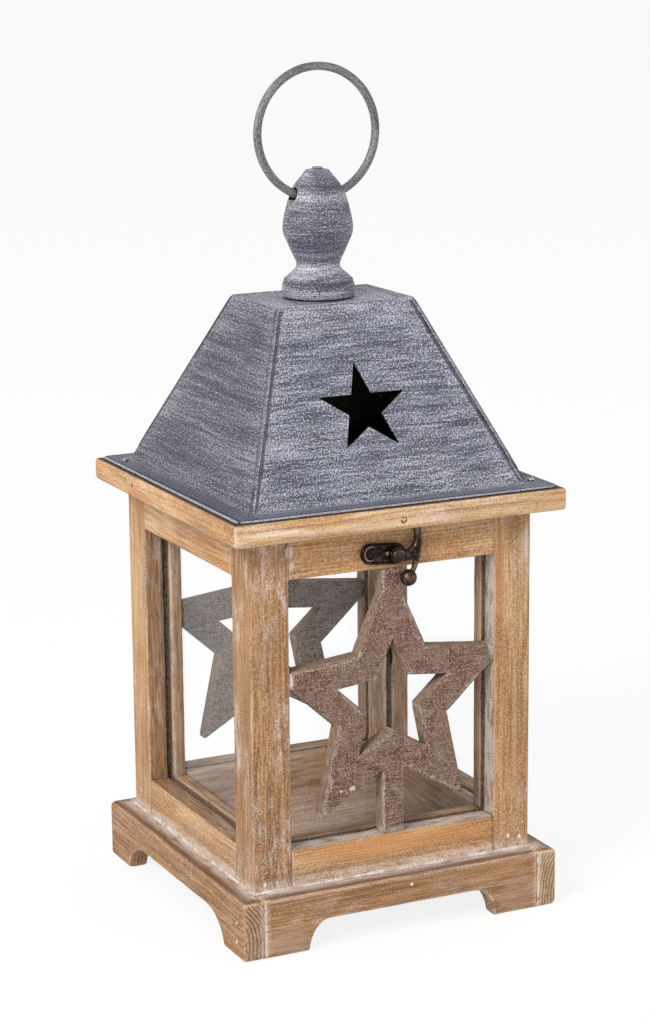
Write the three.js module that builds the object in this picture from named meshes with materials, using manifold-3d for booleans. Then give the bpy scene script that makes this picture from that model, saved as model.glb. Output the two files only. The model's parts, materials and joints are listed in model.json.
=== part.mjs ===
// A wooden lantern with glass panes, cut-out stars and a hinged lid that carries a sheet-metal roof.
// A small battery light hangs from the lid. Millimetres, +Z up, the front faces -Y,
// and the origin is the middle of the footprint, on the surface that the lantern stands on.

import * as THREE from 'three';
import { mergeVertices } from 'three/addons/utils/BufferGeometryUtils.js';
import Module from 'manifold-3d';

const wasm = await Module();
wasm.setup();

// Clearances
const GLUE_GAP = 0.15; // between glued or screwed faces
const FIT_GAP = 0.3; // round loose pieces and between moving pieces
const BORE_GAP = 0.2; // round a screw or pin in its hole, on the radius
const PAST = 1; // how far a cutter runs out past the face that it cuts

// Plinth
const BASE_LEDGE = 9; // how far the plinth stands out from the frame
const BASE_HEIGHT = 25.5;
const BASE_RAIL_THICKNESS = 9.6;
const BASE_EDGE = 1.2; // rounding of the rails' edges
const ARCH_HEIGHT = 12.8;
const FRONT_FOOT_WIDTH = 30;
const FRONT_COVE_RUN = 10;
const SIDE_FOOT_WIDTH = 21;
const SIDE_COVE_RUN = 19;
const FLOOR_THICKNESS = 8;

// Frame of posts and rails
const FRAME_WIDTH = 130;
const FRAME_DEPTH = 130;
const FRAME_HEIGHT = 149;
const POST_WIDTH = 17.5;
const POST_DEPTH = 18.5;
const RAIL_THICKNESS = 17.5;
const TOP_RAIL_HEIGHT = 17.8;
const BOTTOM_RAIL_HEIGHT = 16.3;
const POST_EDGE = 1;
const RAIL_EDGE = 0.6;
const TENON_LENGTH = 5.5;
const TENON_THICKNESS = 5;
const TENON_SHOULDER = 4; // below and above a tenon, in the rail's height

// Glass
const GLASS_THICKNESS = 2;
const GLASS_INSET = 9.2; // from the frame's outer face to the pane
const GLASS_FRONT_GAP = 0.6; // from the groove's outer wall to the pane, seen as a dark line
const GROOVE_DEPTH = 3;

// Frame stars
const STAR_THICKNESS = 8;
const STAR_INSET = 0.4; // behind the frame's outer face
const STAR_TIP_RADIUS = 57;
const STAR_NOTCH_RADIUS = 27;
const STAR_HOLE_TIP_RADIUS = 26.5;
const STAR_HOLE_NOTCH_RADIUS = 12.4;
const STAR_STEM_WIDTH = 10.2;
const STAR_EDGE = 1.2;

// Lid frame
const LID_OVERHANG = 11; // over the frame
const LID_THICKNESS = 9.5;
const LID_RAIL_WIDTH = 24;
const LID_EDGE = 1.5;

// Sheet-metal roof
const SHEET = 0.9;
const FLANGE_INSET = 2.5; // from the lid frame's edge
const FLANGE_LEDGE = 9.5; // from the flange's edge to the sloping sides
const FLANGE_CORNER = 4;
const ROOF_TOP_WIDTH = 64;
const ROOF_TOP_DEPTH = 44;
const ROOF_HEIGHT = 76.6; // from the lid frame's top face to the roof's top
const ROOF_STAR_RADIUS = 20.4;
const ROOF_STAR_MIDDLE = 40.5; // up the slope from the roof's foot
const ROOF_STAR_SHIFT = -2.6; // the star is cut a little left of the middle

// Finial and ring handle
const FINIAL_X = -1.8; // the finial stands a little left of the middle
const FINIAL_FOOT_RADIUS = 15.5;
const FINIAL_NECK_RADIUS = 9.4;
const FINIAL_EGG_RADIUS = 14.9;
const FINIAL_FOOT_HEIGHT = 7.2;
const FINIAL_NECK_HEIGHT = 14;
const FINIAL_EGG_HEIGHT = 28.2;
const FINIAL_SHOULDER_HEIGHT = 53;
const FINIAL_SHOULDER_RADIUS = 4.9;
const FINIAL_NUB_RADIUS = 2.3;
const FINIAL_NUB_HEIGHT = 1.2;
const RING_RADIUS = 27.3; // to the middle of the wire
const RING_WIRE_RADIUS = 1.8;
const RING_AXIS_HEIGHT = 42.8; // above the roof's top

// Latch
const LATCH_X = 0; // the pivot
const LATCH_DROP = 11.65; // from the frame's top to the pivot
const LATCH_TILT = 4.5; // degrees that the plate's screw end stands higher
const LATCH_PLATE_HEIGHT = 8.8;
const LATCH_PLATE_LEFT = 15.6;
const LATCH_PLATE_RIGHT = 4.6;
const LATCH_PLATE_THICKNESS = 1.2;
const LATCH_RIM_HEIGHT = 0.7;
const LATCH_RIM_WIDTH = 0.9;
const LATCH_SCREW_LEFT = 10.4; // from the pivot to the plate's screw
const LATCH_SCREW_HEAD = 2.3;
const LATCH_STOP_LEFT = 4.5; // a small bump on the plate beside the hook's boss
const LATCH_STOP_RADIUS = 1;
const HOOK_THICKNESS = 2.4;
const HOOK_EDGE = 0.4;
const HOOK_BOSS_RADIUS = 3.2;
const HORN_TIP_X = 0.9; // the horn stops here, right of the keeper pin
const HORN_TOP = 19.7; // above the pivot
const HORN_WIDTH = 2.4; // at the tip
const HORN_OUTER_X = 11.05;
const HORN_INNER_X = 7.9;
const HOOK_NECK_X = 7.9; // where the tail meets the ball
const HOOK_NECK_Z = -8;
const HOOK_BALL_RADIUS = 3.55;
const HOOK_BALL_X = 5;
const HOOK_BALL_Z = -10.3;
const HOOK_CLOSING_ANGLE = 10; // degrees from rest to hooked over the keeper pin
const RIVET_RADIUS = 1.4;
const RIVET_HEAD_RADIUS = 3;
const RIVET_HEAD_HEIGHT = 1.5;
const KEEPER_X = -0.6;
const KEEPER_RADIUS = 0.9;
const KEEPER_HEAD_RADIUS = 1.3;
const KEEPER_HEAD_HEIGHT = 0.9; // the head sits in a shallow counterbore, flush with the lid's edge
const KEEPER_RISE = 4.05; // above the lid's underside
const KEEPER_PAST_SLOT = 2.6;
const SLOT_TIP_ROOM = 1.8; // before the horn, for the slot's front wall as the lid tips back

// Lid hinges
const HINGE_FROM_SIDE = 27; // from the frame's side to the hinge's middle
const HINGE_WIDTH = 22;
const HINGE_LEAF_THICKNESS = 1.2;
const HINGE_LEAF_DROP = 12;
const KNUCKLE_RADIUS = 2.2;
const HINGE_PIN_RADIUS = 1.1;
const MIDDLE_KNUCKLE = 8;
const LID_LEAF_INSET = 1; // from the lid's back edge

// Screws
const SCREW_RADIUS = 1.1;
const SCREW_HEAD_RADIUS = 2;
const SCREW_LENGTH = 7;
const ROOF_SCREW_RADIUS = 0.8;
const ROOF_SCREW_HEAD = 1.6;
const ROOF_SCREW_LENGTH = 6;
const ROOF_SCREW_INSET = 5.5; // from the flange's side
const ROOF_SCREW_FROM_END = 14.2;
const FINIAL_SCREW_RADIUS = 2;
const FINIAL_SCREW_HEAD = 4.2;
const FINIAL_SCREW_LENGTH = 18;

// Battery light under the roof
const CELL_RADIUS = 5.25;
const CELL_LENGTH = 43.5;
const CELL_NUB_RADIUS = 1.9;
const CELL_NUB_LENGTH = 1;
const CELL_CREVICE = 0.5; // between and beside the two cells
const CONTACT_ROOM = 2.2; // at each end of the cells
const CONTACT_THICKNESS = 0.5;
const LIGHT_WALL = 1.6;
const LIGHT_BAY_HEIGHT = 11.4;
const LIGHT_STRIP_DEPTH = 12; // the part of the housing that holds the board
const EAR_THICKNESS = 2;
const EAR_DEPTH = 16;
const EAR_REACH = 9; // over the lid's side rails
const DOOR_THICKNESS = 1.4;
const DOOR_BARREL_RADIUS = 1.1;
const DOOR_PIN_RADIUS = 0.7;
const BOARD_THICKNESS = 1.2;
const BOARD_HEIGHT = 6.5; // over the strip's floor
const BOARD_POST = 4;
const LED_RADIUS = 2.5;
const LED_FLANGE_RADIUS = 3;
const LED_DROP = 5.5; // below the housing
const SWITCH_X = 15;
const SWITCH_TRAVEL = 3;
const SWITCH_WIDTH = 4;
const SWITCH_DEPTH = 3;
const SWITCH_NECK = 1.8;
const SWITCH_DROP = 1.4;

// Fineness of round shapes
const ROUND_SIDES = 20;
const SMALL_SIDES = 12;
const FINIAL_SIDES = 24;
const FINIAL_RINGS = 28;
const RING_STEPS = 40;
const RING_SIDES = 8;

// Widths and heights that follow
const BASE_WIDTH = FRAME_WIDTH + 2 * BASE_LEDGE;
const BASE_DEPTH = FRAME_DEPTH + 2 * BASE_LEDGE;
const LID_WIDTH = FRAME_WIDTH + 2 * LID_OVERHANG;
const LID_DEPTH = FRAME_DEPTH + 2 * LID_OVERHANG;
const FLANGE_WIDTH = LID_WIDTH - 2 * FLANGE_INSET;
const FLANGE_DEPTH = LID_DEPTH - 2 * FLANGE_INSET;
const ROOF_FOOT_WIDTH = FLANGE_WIDTH - 2 * FLANGE_LEDGE;
const ROOF_FOOT_DEPTH = FLANGE_DEPTH - 2 * FLANGE_LEDGE;
const ROOF_SCREW_X = FLANGE_WIDTH / 2 - ROOF_SCREW_INSET;
const ROOF_SCREW_Y = FLANGE_DEPTH / 2 - ROOF_SCREW_FROM_END;
const FRAME_FOOT = BASE_HEIGHT + GLUE_GAP;
const FRAME_TOP = FRAME_FOOT + FRAME_HEIGHT;
const OPENING_FOOT = FRAME_FOOT + BOTTOM_RAIL_HEIGHT;
const OPENING_TOP = FRAME_TOP - TOP_RAIL_HEIGHT;
const LID_FOOT = FRAME_TOP + FIT_GAP;
const OPENING_WIDTH = FRAME_WIDTH - 2 * POST_WIDTH;
const OPENING_DEPTH = FRAME_DEPTH - 2 * POST_DEPTH;

// Finishes
const finish = (color, roughness, metalness = 0) => ({ color, roughness, metalness });
const WOOD = finish(0xb98e66, 0.75);
const STAR_WOOD = finish(0x7d6660, 0.85);
const ZINC = finish(0x777a84, 0.65, 0.4);
const BRONZE = finish(0x2e241c, 0.4, 0.8);
const BRASS = finish(0xc09a4a, 0.3, 0.9);
const STEEL = finish(0xb9bcc0, 0.35, 0.9);
const GLASS = finish(0xdfe8e6, 0.05);
const BLACK_PLASTIC = finish(0x1d1e20, 0.5);
const CELL_WRAP = finish(0x4d5a52, 0.45);
const BOARD = finish(0x2d5a3c, 0.6);
const LED_RESIN = finish(0xf2e3b4, 0.2);

// A closed geometry as a solid that can be cut and joined.
function solid(geometry) {
  const bare = geometry.clone();
  bare.deleteAttribute('normal');
  bare.deleteAttribute('uv');
  const merged = mergeVertices(bare);
  return new wasm.Manifold(new wasm.Mesh({
    numProp: 3,
    vertProperties: merged.attributes.position.array,
    triVerts: new Uint32Array(merged.index.array),
  }));
}

// A solid as a geometry that a mesh can show.
function geometryOf(body) {
  const mesh = body.getMesh();
  const geometry = new THREE.BufferGeometry();
  geometry.setAttribute('position', new THREE.BufferAttribute(mesh.vertProperties, 3));
  geometry.setIndex(new THREE.BufferAttribute(mesh.triVerts, 1));
  const flat = geometry.toNonIndexed();
  flat.computeVertexNormals();
  return flat;
}

// One named piece in a group, made from a solid.
function addPiece(group, name, body, look) {
  const material = new THREE.MeshStandardMaterial(look);
  material.name = name;
  const mesh = new THREE.Mesh(geometryOf(body), material);
  mesh.name = name;
  group.add(mesh);
  return mesh;
}

function joined(solids) {
  return solids.reduce((whole, piece) => whole.add(piece));
}

function cut(body, cutters) {
  return cutters.reduce((rest, cutter) => rest.subtract(cutter), body);
}

// A box between two corners on each axis, in either order.
function block([x0, x1], [y0, y1], [z0, z1]) {
  const box = new THREE.BoxGeometry(Math.abs(x1 - x0), Math.abs(y1 - y0), Math.abs(z1 - z0));
  box.translate((x0 + x1) / 2, (y0 + y1) / 2, (z0 + z1) / 2);
  return solid(box);
}

// Round bars along each axis, from one end to the other.
function rodZ(radius, [z0, z1], x = 0, y = 0, sides = SMALL_SIDES) {
  const rod = new THREE.CylinderGeometry(radius, radius, Math.abs(z1 - z0), sides);
  rod.rotateX(Math.PI / 2);
  rod.translate(x, y, (z0 + z1) / 2);
  return solid(rod);
}

function rodX(radius, [x0, x1], y = 0, z = 0, sides = SMALL_SIDES) {
  const rod = new THREE.CylinderGeometry(radius, radius, Math.abs(x1 - x0), sides);
  rod.rotateZ(Math.PI / 2);
  rod.translate((x0 + x1) / 2, y, z);
  return solid(rod);
}

function rodY(radius, [y0, y1], x = 0, z = 0, sides = SMALL_SIDES) {
  const rod = new THREE.CylinderGeometry(radius, radius, Math.abs(y1 - y0), sides);
  rod.translate(x, (y0 + y1) / 2, z);
  return solid(rod);
}

// Basis matrices that stand an outline up: on the front, facing -Y, or on the side, facing +X.
const FACING_FRONT = new THREE.Matrix4().makeBasis(
  new THREE.Vector3(1, 0, 0), new THREE.Vector3(0, 0, 1), new THREE.Vector3(0, -1, 0));
const FACING_SIDE = new THREE.Matrix4().makeBasis(
  new THREE.Vector3(0, 1, 0), new THREE.Vector3(0, 0, 1), new THREE.Vector3(1, 0, 0));

// An outline pushed out to a thickness, its edges rounded inside the outline.
function plate(shape, thickness, edge = 0, segments = 2) {
  const geometry = new THREE.ExtrudeGeometry(shape, {
    depth: thickness - 2 * edge,
    bevelEnabled: edge > 0,
    bevelThickness: edge,
    bevelSize: edge,
    bevelOffset: -edge,
    bevelSegments: segments,
    curveSegments: 8,
  });
  geometry.translate(0, 0, edge);
  return geometry;
}

function rectangle(width, height) {
  const x = width / 2;
  const y = height / 2;
  return new THREE.Shape([[-x, -y], [x, -y], [x, y], [-x, y]].map((at) => new THREE.Vector2(...at)));
}

// A rectangle with its middle at the origin and round corners.
function roundRect(width, height, corner) {
  const x = width / 2;
  const y = height / 2;
  const shape = new THREE.Shape();
  shape.absarc(x - corner, y - corner, corner, 0, Math.PI / 2);
  shape.absarc(-x + corner, y - corner, corner, Math.PI / 2, Math.PI);
  shape.absarc(-x + corner, -y + corner, corner, Math.PI, 1.5 * Math.PI);
  shape.absarc(x - corner, -y + corner, corner, 1.5 * Math.PI, 2 * Math.PI);
  shape.closePath();
  return shape;
}

// A bar with round long edges, its middle at the origin, along Z.
function easedBar(width, depth, length, corner) {
  const bar = new THREE.ExtrudeGeometry(roundRect(width, depth, corner), {
    depth: length,
    bevelEnabled: false,
    curveSegments: 2,
  });
  bar.translate(0, 0, -length / 2);
  return bar;
}

// A five-pointed star with one tip up.
function starPoints(tipRadius, notchRadius) {
  const points = [];
  for (let corner = 0; corner < 10; corner++) {
    const radius = corner % 2 === 0 ? tipRadius : notchRadius;
    const angle = Math.PI / 2 + corner * Math.PI / 5;
    points.push(new THREE.Vector2(radius * Math.cos(angle), radius * Math.sin(angle)));
  }
  return points;
}

// A headed screw or pin along -Z from the origin: the head above, the shank below.
function countersunkScrew(radius, headRadius, length) {
  const sink = headRadius - radius;
  const profile = [[0, 0], [headRadius, 0], [radius, -sink], [radius, -length], [0, -length]];
  return lathe(profile);
}

function domedScrew(radius, headRadius, headHeight, length) {
  const shoulder = 0.75; // share of the head's radius and height where the dome bends
  const profile = [
    [0, headHeight], [headRadius * shoulder, headHeight * shoulder], [headRadius, 0],
    [radius, 0], [radius, -length], [0, -length],
  ];
  return lathe(profile);
}

// A turned piece from a profile of radius and height, listed from the top down.
function lathe(profile, sides = SMALL_SIDES) {
  const points = profile.map(([radius, height]) => new THREE.Vector2(radius, height));
  const turned = new THREE.LatheGeometry(points.reverse(), sides);
  turned.rotateX(Math.PI / 2);
  return turned;
}

// Plinth: arched rails round a floor board

// The outline of a rail with bracket feet, its middle over the origin.
function archedRail(length, footWidth, coveRun) {
  const half = length / 2;
  const foot = half - footWidth;
  const crown = foot - coveRun;
  const steep = foot - 0.12 * coveRun; // where the cove still rises steeply
  const level = foot - 0.45 * coveRun; // where it has nearly levelled out
  const steepHeight = 0.6 * ARCH_HEIGHT;
  const shape = new THREE.Shape();
  shape.moveTo(-half, 0);
  shape.lineTo(-foot, 0);
  shape.bezierCurveTo(-steep, steepHeight, -level, ARCH_HEIGHT, -crown, ARCH_HEIGHT);
  shape.lineTo(crown, ARCH_HEIGHT);
  shape.bezierCurveTo(level, ARCH_HEIGHT, steep, steepHeight, foot, 0);
  shape.lineTo(half, 0);
  shape.lineTo(half, BASE_HEIGHT);
  shape.lineTo(-half, BASE_HEIGHT);
  shape.closePath();
  return shape;
}

function makeBase() {
  const base = new THREE.Group();
  const sideOutline = archedRail(BASE_DEPTH, SIDE_FOOT_WIDTH, SIDE_COVE_RUN);
  const sideRail = plate(sideOutline, BASE_RAIL_THICKNESS, BASE_EDGE).applyMatrix4(FACING_SIDE);
  for (const [name, side] of [['base_rail_left', -1], ['base_rail_right', 1]]) {
    const rail = sideRail.clone();
    const inner = BASE_WIDTH / 2 - BASE_RAIL_THICKNESS;
    rail.translate(side > 0 ? inner : -BASE_WIDTH / 2, 0, 0);
    addPiece(base, name, solid(rail), WOOD);
  }
  const betweenSides = BASE_WIDTH - 2 * (BASE_RAIL_THICKNESS + GLUE_GAP);
  const footInside = FRONT_FOOT_WIDTH - BASE_RAIL_THICKNESS;
  const frontOutline = archedRail(betweenSides, footInside, FRONT_COVE_RUN);
  const crossRail = plate(frontOutline, BASE_RAIL_THICKNESS, BASE_EDGE).applyMatrix4(FACING_FRONT);
  for (const [name, side] of [['base_rail_front', -1], ['base_rail_back', 1]]) {
    const rail = crossRail.clone();
    const inner = BASE_DEPTH / 2 - BASE_RAIL_THICKNESS;
    rail.translate(0, side > 0 ? BASE_DEPTH / 2 : -inner, 0);
    addPiece(base, name, solid(rail), WOOD);
  }
  const floorX = BASE_WIDTH / 2 - BASE_RAIL_THICKNESS - GLUE_GAP;
  const floorY = BASE_DEPTH / 2 - BASE_RAIL_THICKNESS - GLUE_GAP;
  const floor = block([-floorX, floorX], [-floorY, floorY], [BASE_HEIGHT - FLOOR_THICKNESS, BASE_HEIGHT]);
  addPiece(base, 'floor_board', floor, WOOD);
  return base;
}

// Frame: four posts joined by tenoned rails, grooved for the panes

const TENON_BANDS = [
  [FRAME_FOOT + TENON_SHOULDER, OPENING_FOOT - TENON_SHOULDER],
  [OPENING_TOP + TENON_SHOULDER, FRAME_TOP - TENON_SHOULDER],
];

// A post at one corner: x and y are -1 or 1.
function post(x, y) {
  const outX = x * FRAME_WIDTH / 2;
  const outY = y * FRAME_DEPTH / 2;
  const inX = outX - x * POST_WIDTH;
  const inY = outY - y * POST_DEPTH;
  const bar = easedBar(POST_WIDTH, POST_DEPTH, FRAME_HEIGHT, POST_EDGE);
  bar.translate((outX + inX) / 2, (outY + inY) / 2, FRAME_FOOT + FRAME_HEIGHT / 2);
  const grooveZ = [OPENING_FOOT - GROOVE_DEPTH, OPENING_TOP + GROOVE_DEPTH];
  const nearGlass = GLASS_INSET - GLASS_FRONT_GAP;
  const farGlass = GLASS_INSET + GLASS_THICKNESS + BORE_GAP;
  const cutters = [
    block([inX - x * PAST, inX + x * GROOVE_DEPTH], [outY - y * nearGlass, outY - y * farGlass], grooveZ),
    block([outX - x * nearGlass, outX - x * farGlass], [inY - y * PAST, inY + y * GROOVE_DEPTH], grooveZ),
  ];
  const cheek = TENON_THICKNESS / 2 + GLUE_GAP;
  const middle = RAIL_THICKNESS / 2;
  const socket = TENON_LENGTH + GLUE_GAP;
  for (const [foot, top] of TENON_BANDS) {
    const band = [foot - GLUE_GAP, top + GLUE_GAP];
    const crossY = outY - y * middle;
    const crossX = outX - x * middle;
    cutters.push(block([inX - x * PAST, inX + x * socket], [crossY - cheek, crossY + cheek], band));
    cutters.push(block([crossX - cheek, crossX + cheek], [inY - y * PAST, inY + y * socket], band));
  }
  return cut(solid(bar), cutters);
}

// A rail along X whose outer face is at y = 0 and whose foot is at z = 0.
function frameRail(span, height, grooveOnTop) {
  const length = span - 2 * GLUE_GAP;
  const bar = easedBar(height, RAIL_THICKNESS, length, RAIL_EDGE);
  bar.rotateY(Math.PI / 2);
  bar.translate(0, RAIL_THICKNESS / 2, height / 2);
  const tenonEnd = length / 2 + TENON_LENGTH;
  const cheek = TENON_THICKNESS / 2;
  const middle = RAIL_THICKNESS / 2;
  const tenon = block([-tenonEnd, tenonEnd], [middle - cheek, middle + cheek],
    [TENON_SHOULDER, height - TENON_SHOULDER]);
  const grooveZ = grooveOnTop ? [height - GROOVE_DEPTH, height + PAST] : [-PAST, GROOVE_DEPTH];
  const groove = block([-length, length],
    [GLASS_INSET - GLASS_FRONT_GAP, GLASS_INSET + GLASS_THICKNESS + BORE_GAP], grooveZ);
  return solid(bar).add(tenon).subtract(groove);
}

// A frame star with its stems, its outer face at y = 0, its middle at the origin.
function frameStar() {
  const outline = new THREE.Shape(starPoints(STAR_TIP_RADIUS, STAR_NOTCH_RADIUS));
  outline.holes.push(new THREE.Path(starPoints(STAR_HOLE_TIP_RADIUS, STAR_HOLE_NOTCH_RADIUS)));
  const star = plate(outline, STAR_THICKNESS, STAR_EDGE).applyMatrix4(FACING_FRONT);
  star.translate(0, STAR_THICKNESS, 0);
  const halfHeight = (OPENING_TOP - OPENING_FOOT) / 2 - GLUE_GAP;
  const halfWidth = OPENING_WIDTH / 2 - GLUE_GAP;
  const reach = 4; // how far a stem runs into the star, from a notch or a tip
  const stemRanges = [
    [-halfHeight - reach, reach - STAR_NOTCH_RADIUS],
    [STAR_TIP_RADIUS / 2, halfHeight + reach],
  ];
  const stems = stemRanges.map(([foot, top]) => {
    const stem = plate(rectangle(STAR_STEM_WIDTH, top - foot), STAR_THICKNESS, STAR_EDGE);
    stem.applyMatrix4(FACING_FRONT);
    stem.translate(0, STAR_THICKNESS, (foot + top) / 2);
    return solid(stem);
  });
  const room = block([-halfWidth, halfWidth], [-PAST, STAR_THICKNESS + PAST], [-halfHeight, halfHeight]);
  return joined([solid(star), ...stems]).intersect(room);
}

function makeFrame() {
  const frame = new THREE.Group();
  for (const [end, y] of [['front', -1], ['back', 1]]) {
    for (const [side, x] of [['left', -1], ['right', 1]]) {
      addPiece(frame, `post_${end}_${side}`, post(x, y), WOOD);
    }
  }
  const sides = [
    ['front', 0, FRAME_DEPTH / 2, OPENING_WIDTH],
    ['right', 1, FRAME_WIDTH / 2, OPENING_DEPTH],
    ['back', 2, FRAME_DEPTH / 2, OPENING_WIDTH],
    ['left', 3, FRAME_WIDTH / 2, OPENING_DEPTH],
  ];
  for (const [side, quarter, outer, span] of sides) {
    const wall = new THREE.Group();
    wall.rotation.z = quarter * Math.PI / 2;
    const face = new THREE.Group();
    face.position.y = -outer;
    wall.add(face);
    frame.add(wall);
    const bottom = frameRail(span, BOTTOM_RAIL_HEIGHT, true);
    let top = frameRail(span, TOP_RAIL_HEIGHT, false);
    if (side === 'front') top = cut(top, latchHoles());
    if (side === 'back') top = cut(top, frameHingeHoles());
    addPiece(face, `bottom_rail_${side}`, bottom, WOOD).position.z = FRAME_FOOT;
    addPiece(face, `top_rail_${side}`, top, WOOD).position.z = OPENING_TOP;
    const half = span / 2 + GROOVE_DEPTH - BORE_GAP;
    const pane = block([-half, half], [GLASS_INSET, GLASS_INSET + GLASS_THICKNESS],
      [OPENING_FOOT - GROOVE_DEPTH + BORE_GAP, OPENING_TOP + GROOVE_DEPTH - BORE_GAP]);
    addPiece(face, `glass_${side}`, pane, GLASS);
    if (side === 'front' || side === 'back') {
      const star = addPiece(face, `star_${side}`, frameStar(), STAR_WOOD);
      star.position.set(0, STAR_INSET, (OPENING_FOOT + OPENING_TOP) / 2);
    }
  }
  return frame;
}

// Latch: a plate riveted and screwed to the front top rail, and a horn hook on the rivet

const PIVOT_Z = FRAME_TOP - LATCH_DROP;
const PLATE_FRONT = LATCH_PLATE_THICKNESS + LATCH_RIM_HEIGHT + GLUE_GAP; // in front of the rail
const HOOK_BACK = PLATE_FRONT + FIT_GAP;
const HOOK_FRONT = HOOK_BACK + HOOK_THICKNESS;
const RIVET_DEPTH = 7; // in the rail

const TILT = LATCH_TILT * Math.PI / 180;

// Holes in the front top rail, in the rail's own place.
function latchHoles() {
  const z = PIVOT_Z - OPENING_TOP;
  const screwX = LATCH_X - LATCH_SCREW_LEFT * Math.cos(TILT);
  const screwZ = z + LATCH_SCREW_LEFT * Math.sin(TILT);
  return [
    rodY(RIVET_RADIUS + BORE_GAP, [-PAST, RIVET_DEPTH + BORE_GAP], LATCH_X, z),
    rodY(SCREW_RADIUS + BORE_GAP, [-PAST, SCREW_LENGTH + BORE_GAP], screwX, screwZ),
  ];
}

// The plate's outline round the pivot, with a margin taken off all round.
function stadium(margin) {
  const left = -LATCH_PLATE_LEFT + margin;
  const right = LATCH_PLATE_RIGHT - margin;
  const radius = LATCH_PLATE_HEIGHT / 2 - margin;
  const shape = new THREE.Shape();
  shape.absarc(right - radius, 0, radius, -Math.PI / 2, Math.PI / 2);
  shape.absarc(left + radius, 0, radius, Math.PI / 2, 1.5 * Math.PI);
  shape.closePath();
  return shape;
}

function latchPlate() {
  const full = LATCH_PLATE_THICKNESS + LATCH_RIM_HEIGHT;
  const body = solid(plate(stadium(0), full, HOOK_EDGE, 1).applyMatrix4(FACING_FRONT));
  const recess = plate(stadium(LATCH_RIM_WIDTH), full).applyMatrix4(FACING_FRONT);
  recess.translate(0, -LATCH_PLATE_THICKNESS, 0);
  const raised = [-full, -LATCH_PLATE_THICKNESS / 2];
  const pad = rodY(HOOK_BOSS_RADIUS - HOOK_EDGE, raised, 0, 0, ROUND_SIDES);
  const stop = rodY(LATCH_STOP_RADIUS, raised, -LATCH_STOP_LEFT);
  return cut(joined([body.subtract(solid(recess)), pad, stop]), [
    rodY(RIVET_RADIUS + BORE_GAP, [-full - PAST, PAST]),
    rodY(SCREW_RADIUS + BORE_GAP, [-full - PAST, PAST], -LATCH_SCREW_LEFT),
  ]);
}

// The hook lies in the XZ plane round its pivot, its flat back at y = 0, its front towards -Y.
function latchHook() {
  const belly = 4.7; // height of the horn's widest point
  const web = -3.2; // lower edge of the web between boss and tail
  const horn = new THREE.Shape();
  horn.moveTo(HORN_TIP_X, HORN_TOP);
  horn.bezierCurveTo(7.5, HORN_TOP, HORN_OUTER_X, 12.5, HORN_OUTER_X, belly);
  horn.bezierCurveTo(HORN_OUTER_X, 0.5, 10, -3.5, HOOK_NECK_X, HOOK_NECK_Z);
  horn.lineTo(HOOK_BALL_X, HOOK_NECK_Z - HOOK_EDGE);
  horn.bezierCurveTo(7.3, -6.6, 7.5, -4.4, 6.2, web);
  horn.lineTo(1, web);
  horn.lineTo(1, 1.1);
  horn.lineTo(3, 1.1);
  horn.bezierCurveTo(6, 1.6, 8.1, 3.8, HORN_INNER_X, 7.2);
  horn.bezierCurveTo(7.7, 12.5, 5.2, HORN_TOP - HORN_WIDTH, HORN_TIP_X, HORN_TOP - HORN_WIDTH);
  horn.closePath();
  const flat = (shape) => solid(plate(shape, HOOK_THICKNESS, HOOK_EDGE, 1).applyMatrix4(FACING_FRONT));
  const boss = new THREE.Shape().absarc(0, 0, HOOK_BOSS_RADIUS, 0, 2 * Math.PI);
  const sphere = new THREE.SphereGeometry(HOOK_BALL_RADIUS, ROUND_SIDES, SMALL_SIDES);
  sphere.translate(HOOK_BALL_X, -HOOK_THICKNESS / 2, HOOK_BALL_Z);
  const beyond = 2 * HORN_TOP;
  const behind = block([-beyond, beyond], [0, beyond], [-beyond, beyond]);
  const ball = solid(sphere).subtract(behind);
  return joined([flat(horn), flat(boss), ball])
    .subtract(rodY(RIVET_RADIUS + BORE_GAP, [-HOOK_THICKNESS - PAST, PAST]));
}

// The farthest that the hook reaches from its pivot.
const HORN_REACH = Math.hypot(HORN_TIP_X, HORN_TOP);

function makeLatch() {
  const latch = new THREE.Group();
  latch.position.set(LATCH_X, -FRAME_DEPTH / 2, PIVOT_Z);
  const tilted = new THREE.Group();
  tilted.rotation.y = TILT;
  latch.add(tilted);
  addPiece(tilted, 'latch_plate', latchPlate(), BRONZE).position.y = -GLUE_GAP;
  const toFront = (geometry) => solid(geometry.rotateX(Math.PI / 2));
  const screwSeat = GLUE_GAP + LATCH_PLATE_THICKNESS + GLUE_GAP;
  const screw = domedScrew(SCREW_RADIUS, LATCH_SCREW_HEAD, LATCH_RIM_HEIGHT, SCREW_LENGTH);
  addPiece(tilted, 'latch_screw', toFront(screw), BRONZE).position.set(-LATCH_SCREW_LEFT, -screwSeat, 0);
  const rivetLength = HOOK_FRONT + FIT_GAP + RIVET_DEPTH;
  const rivet = domedScrew(RIVET_RADIUS, RIVET_HEAD_RADIUS, RIVET_HEAD_HEIGHT, rivetLength);
  addPiece(latch, 'latch_rivet', toFront(rivet), BRONZE).position.y = -HOOK_FRONT - FIT_GAP;
  addPiece(latch, 'latch_hook', latchHook(), BRONZE).position.y = -HOOK_BACK;
  return latch;
}

// Lid hinges behind the frame: each has a frame leaf, a lid leaf and a pin along X

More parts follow.
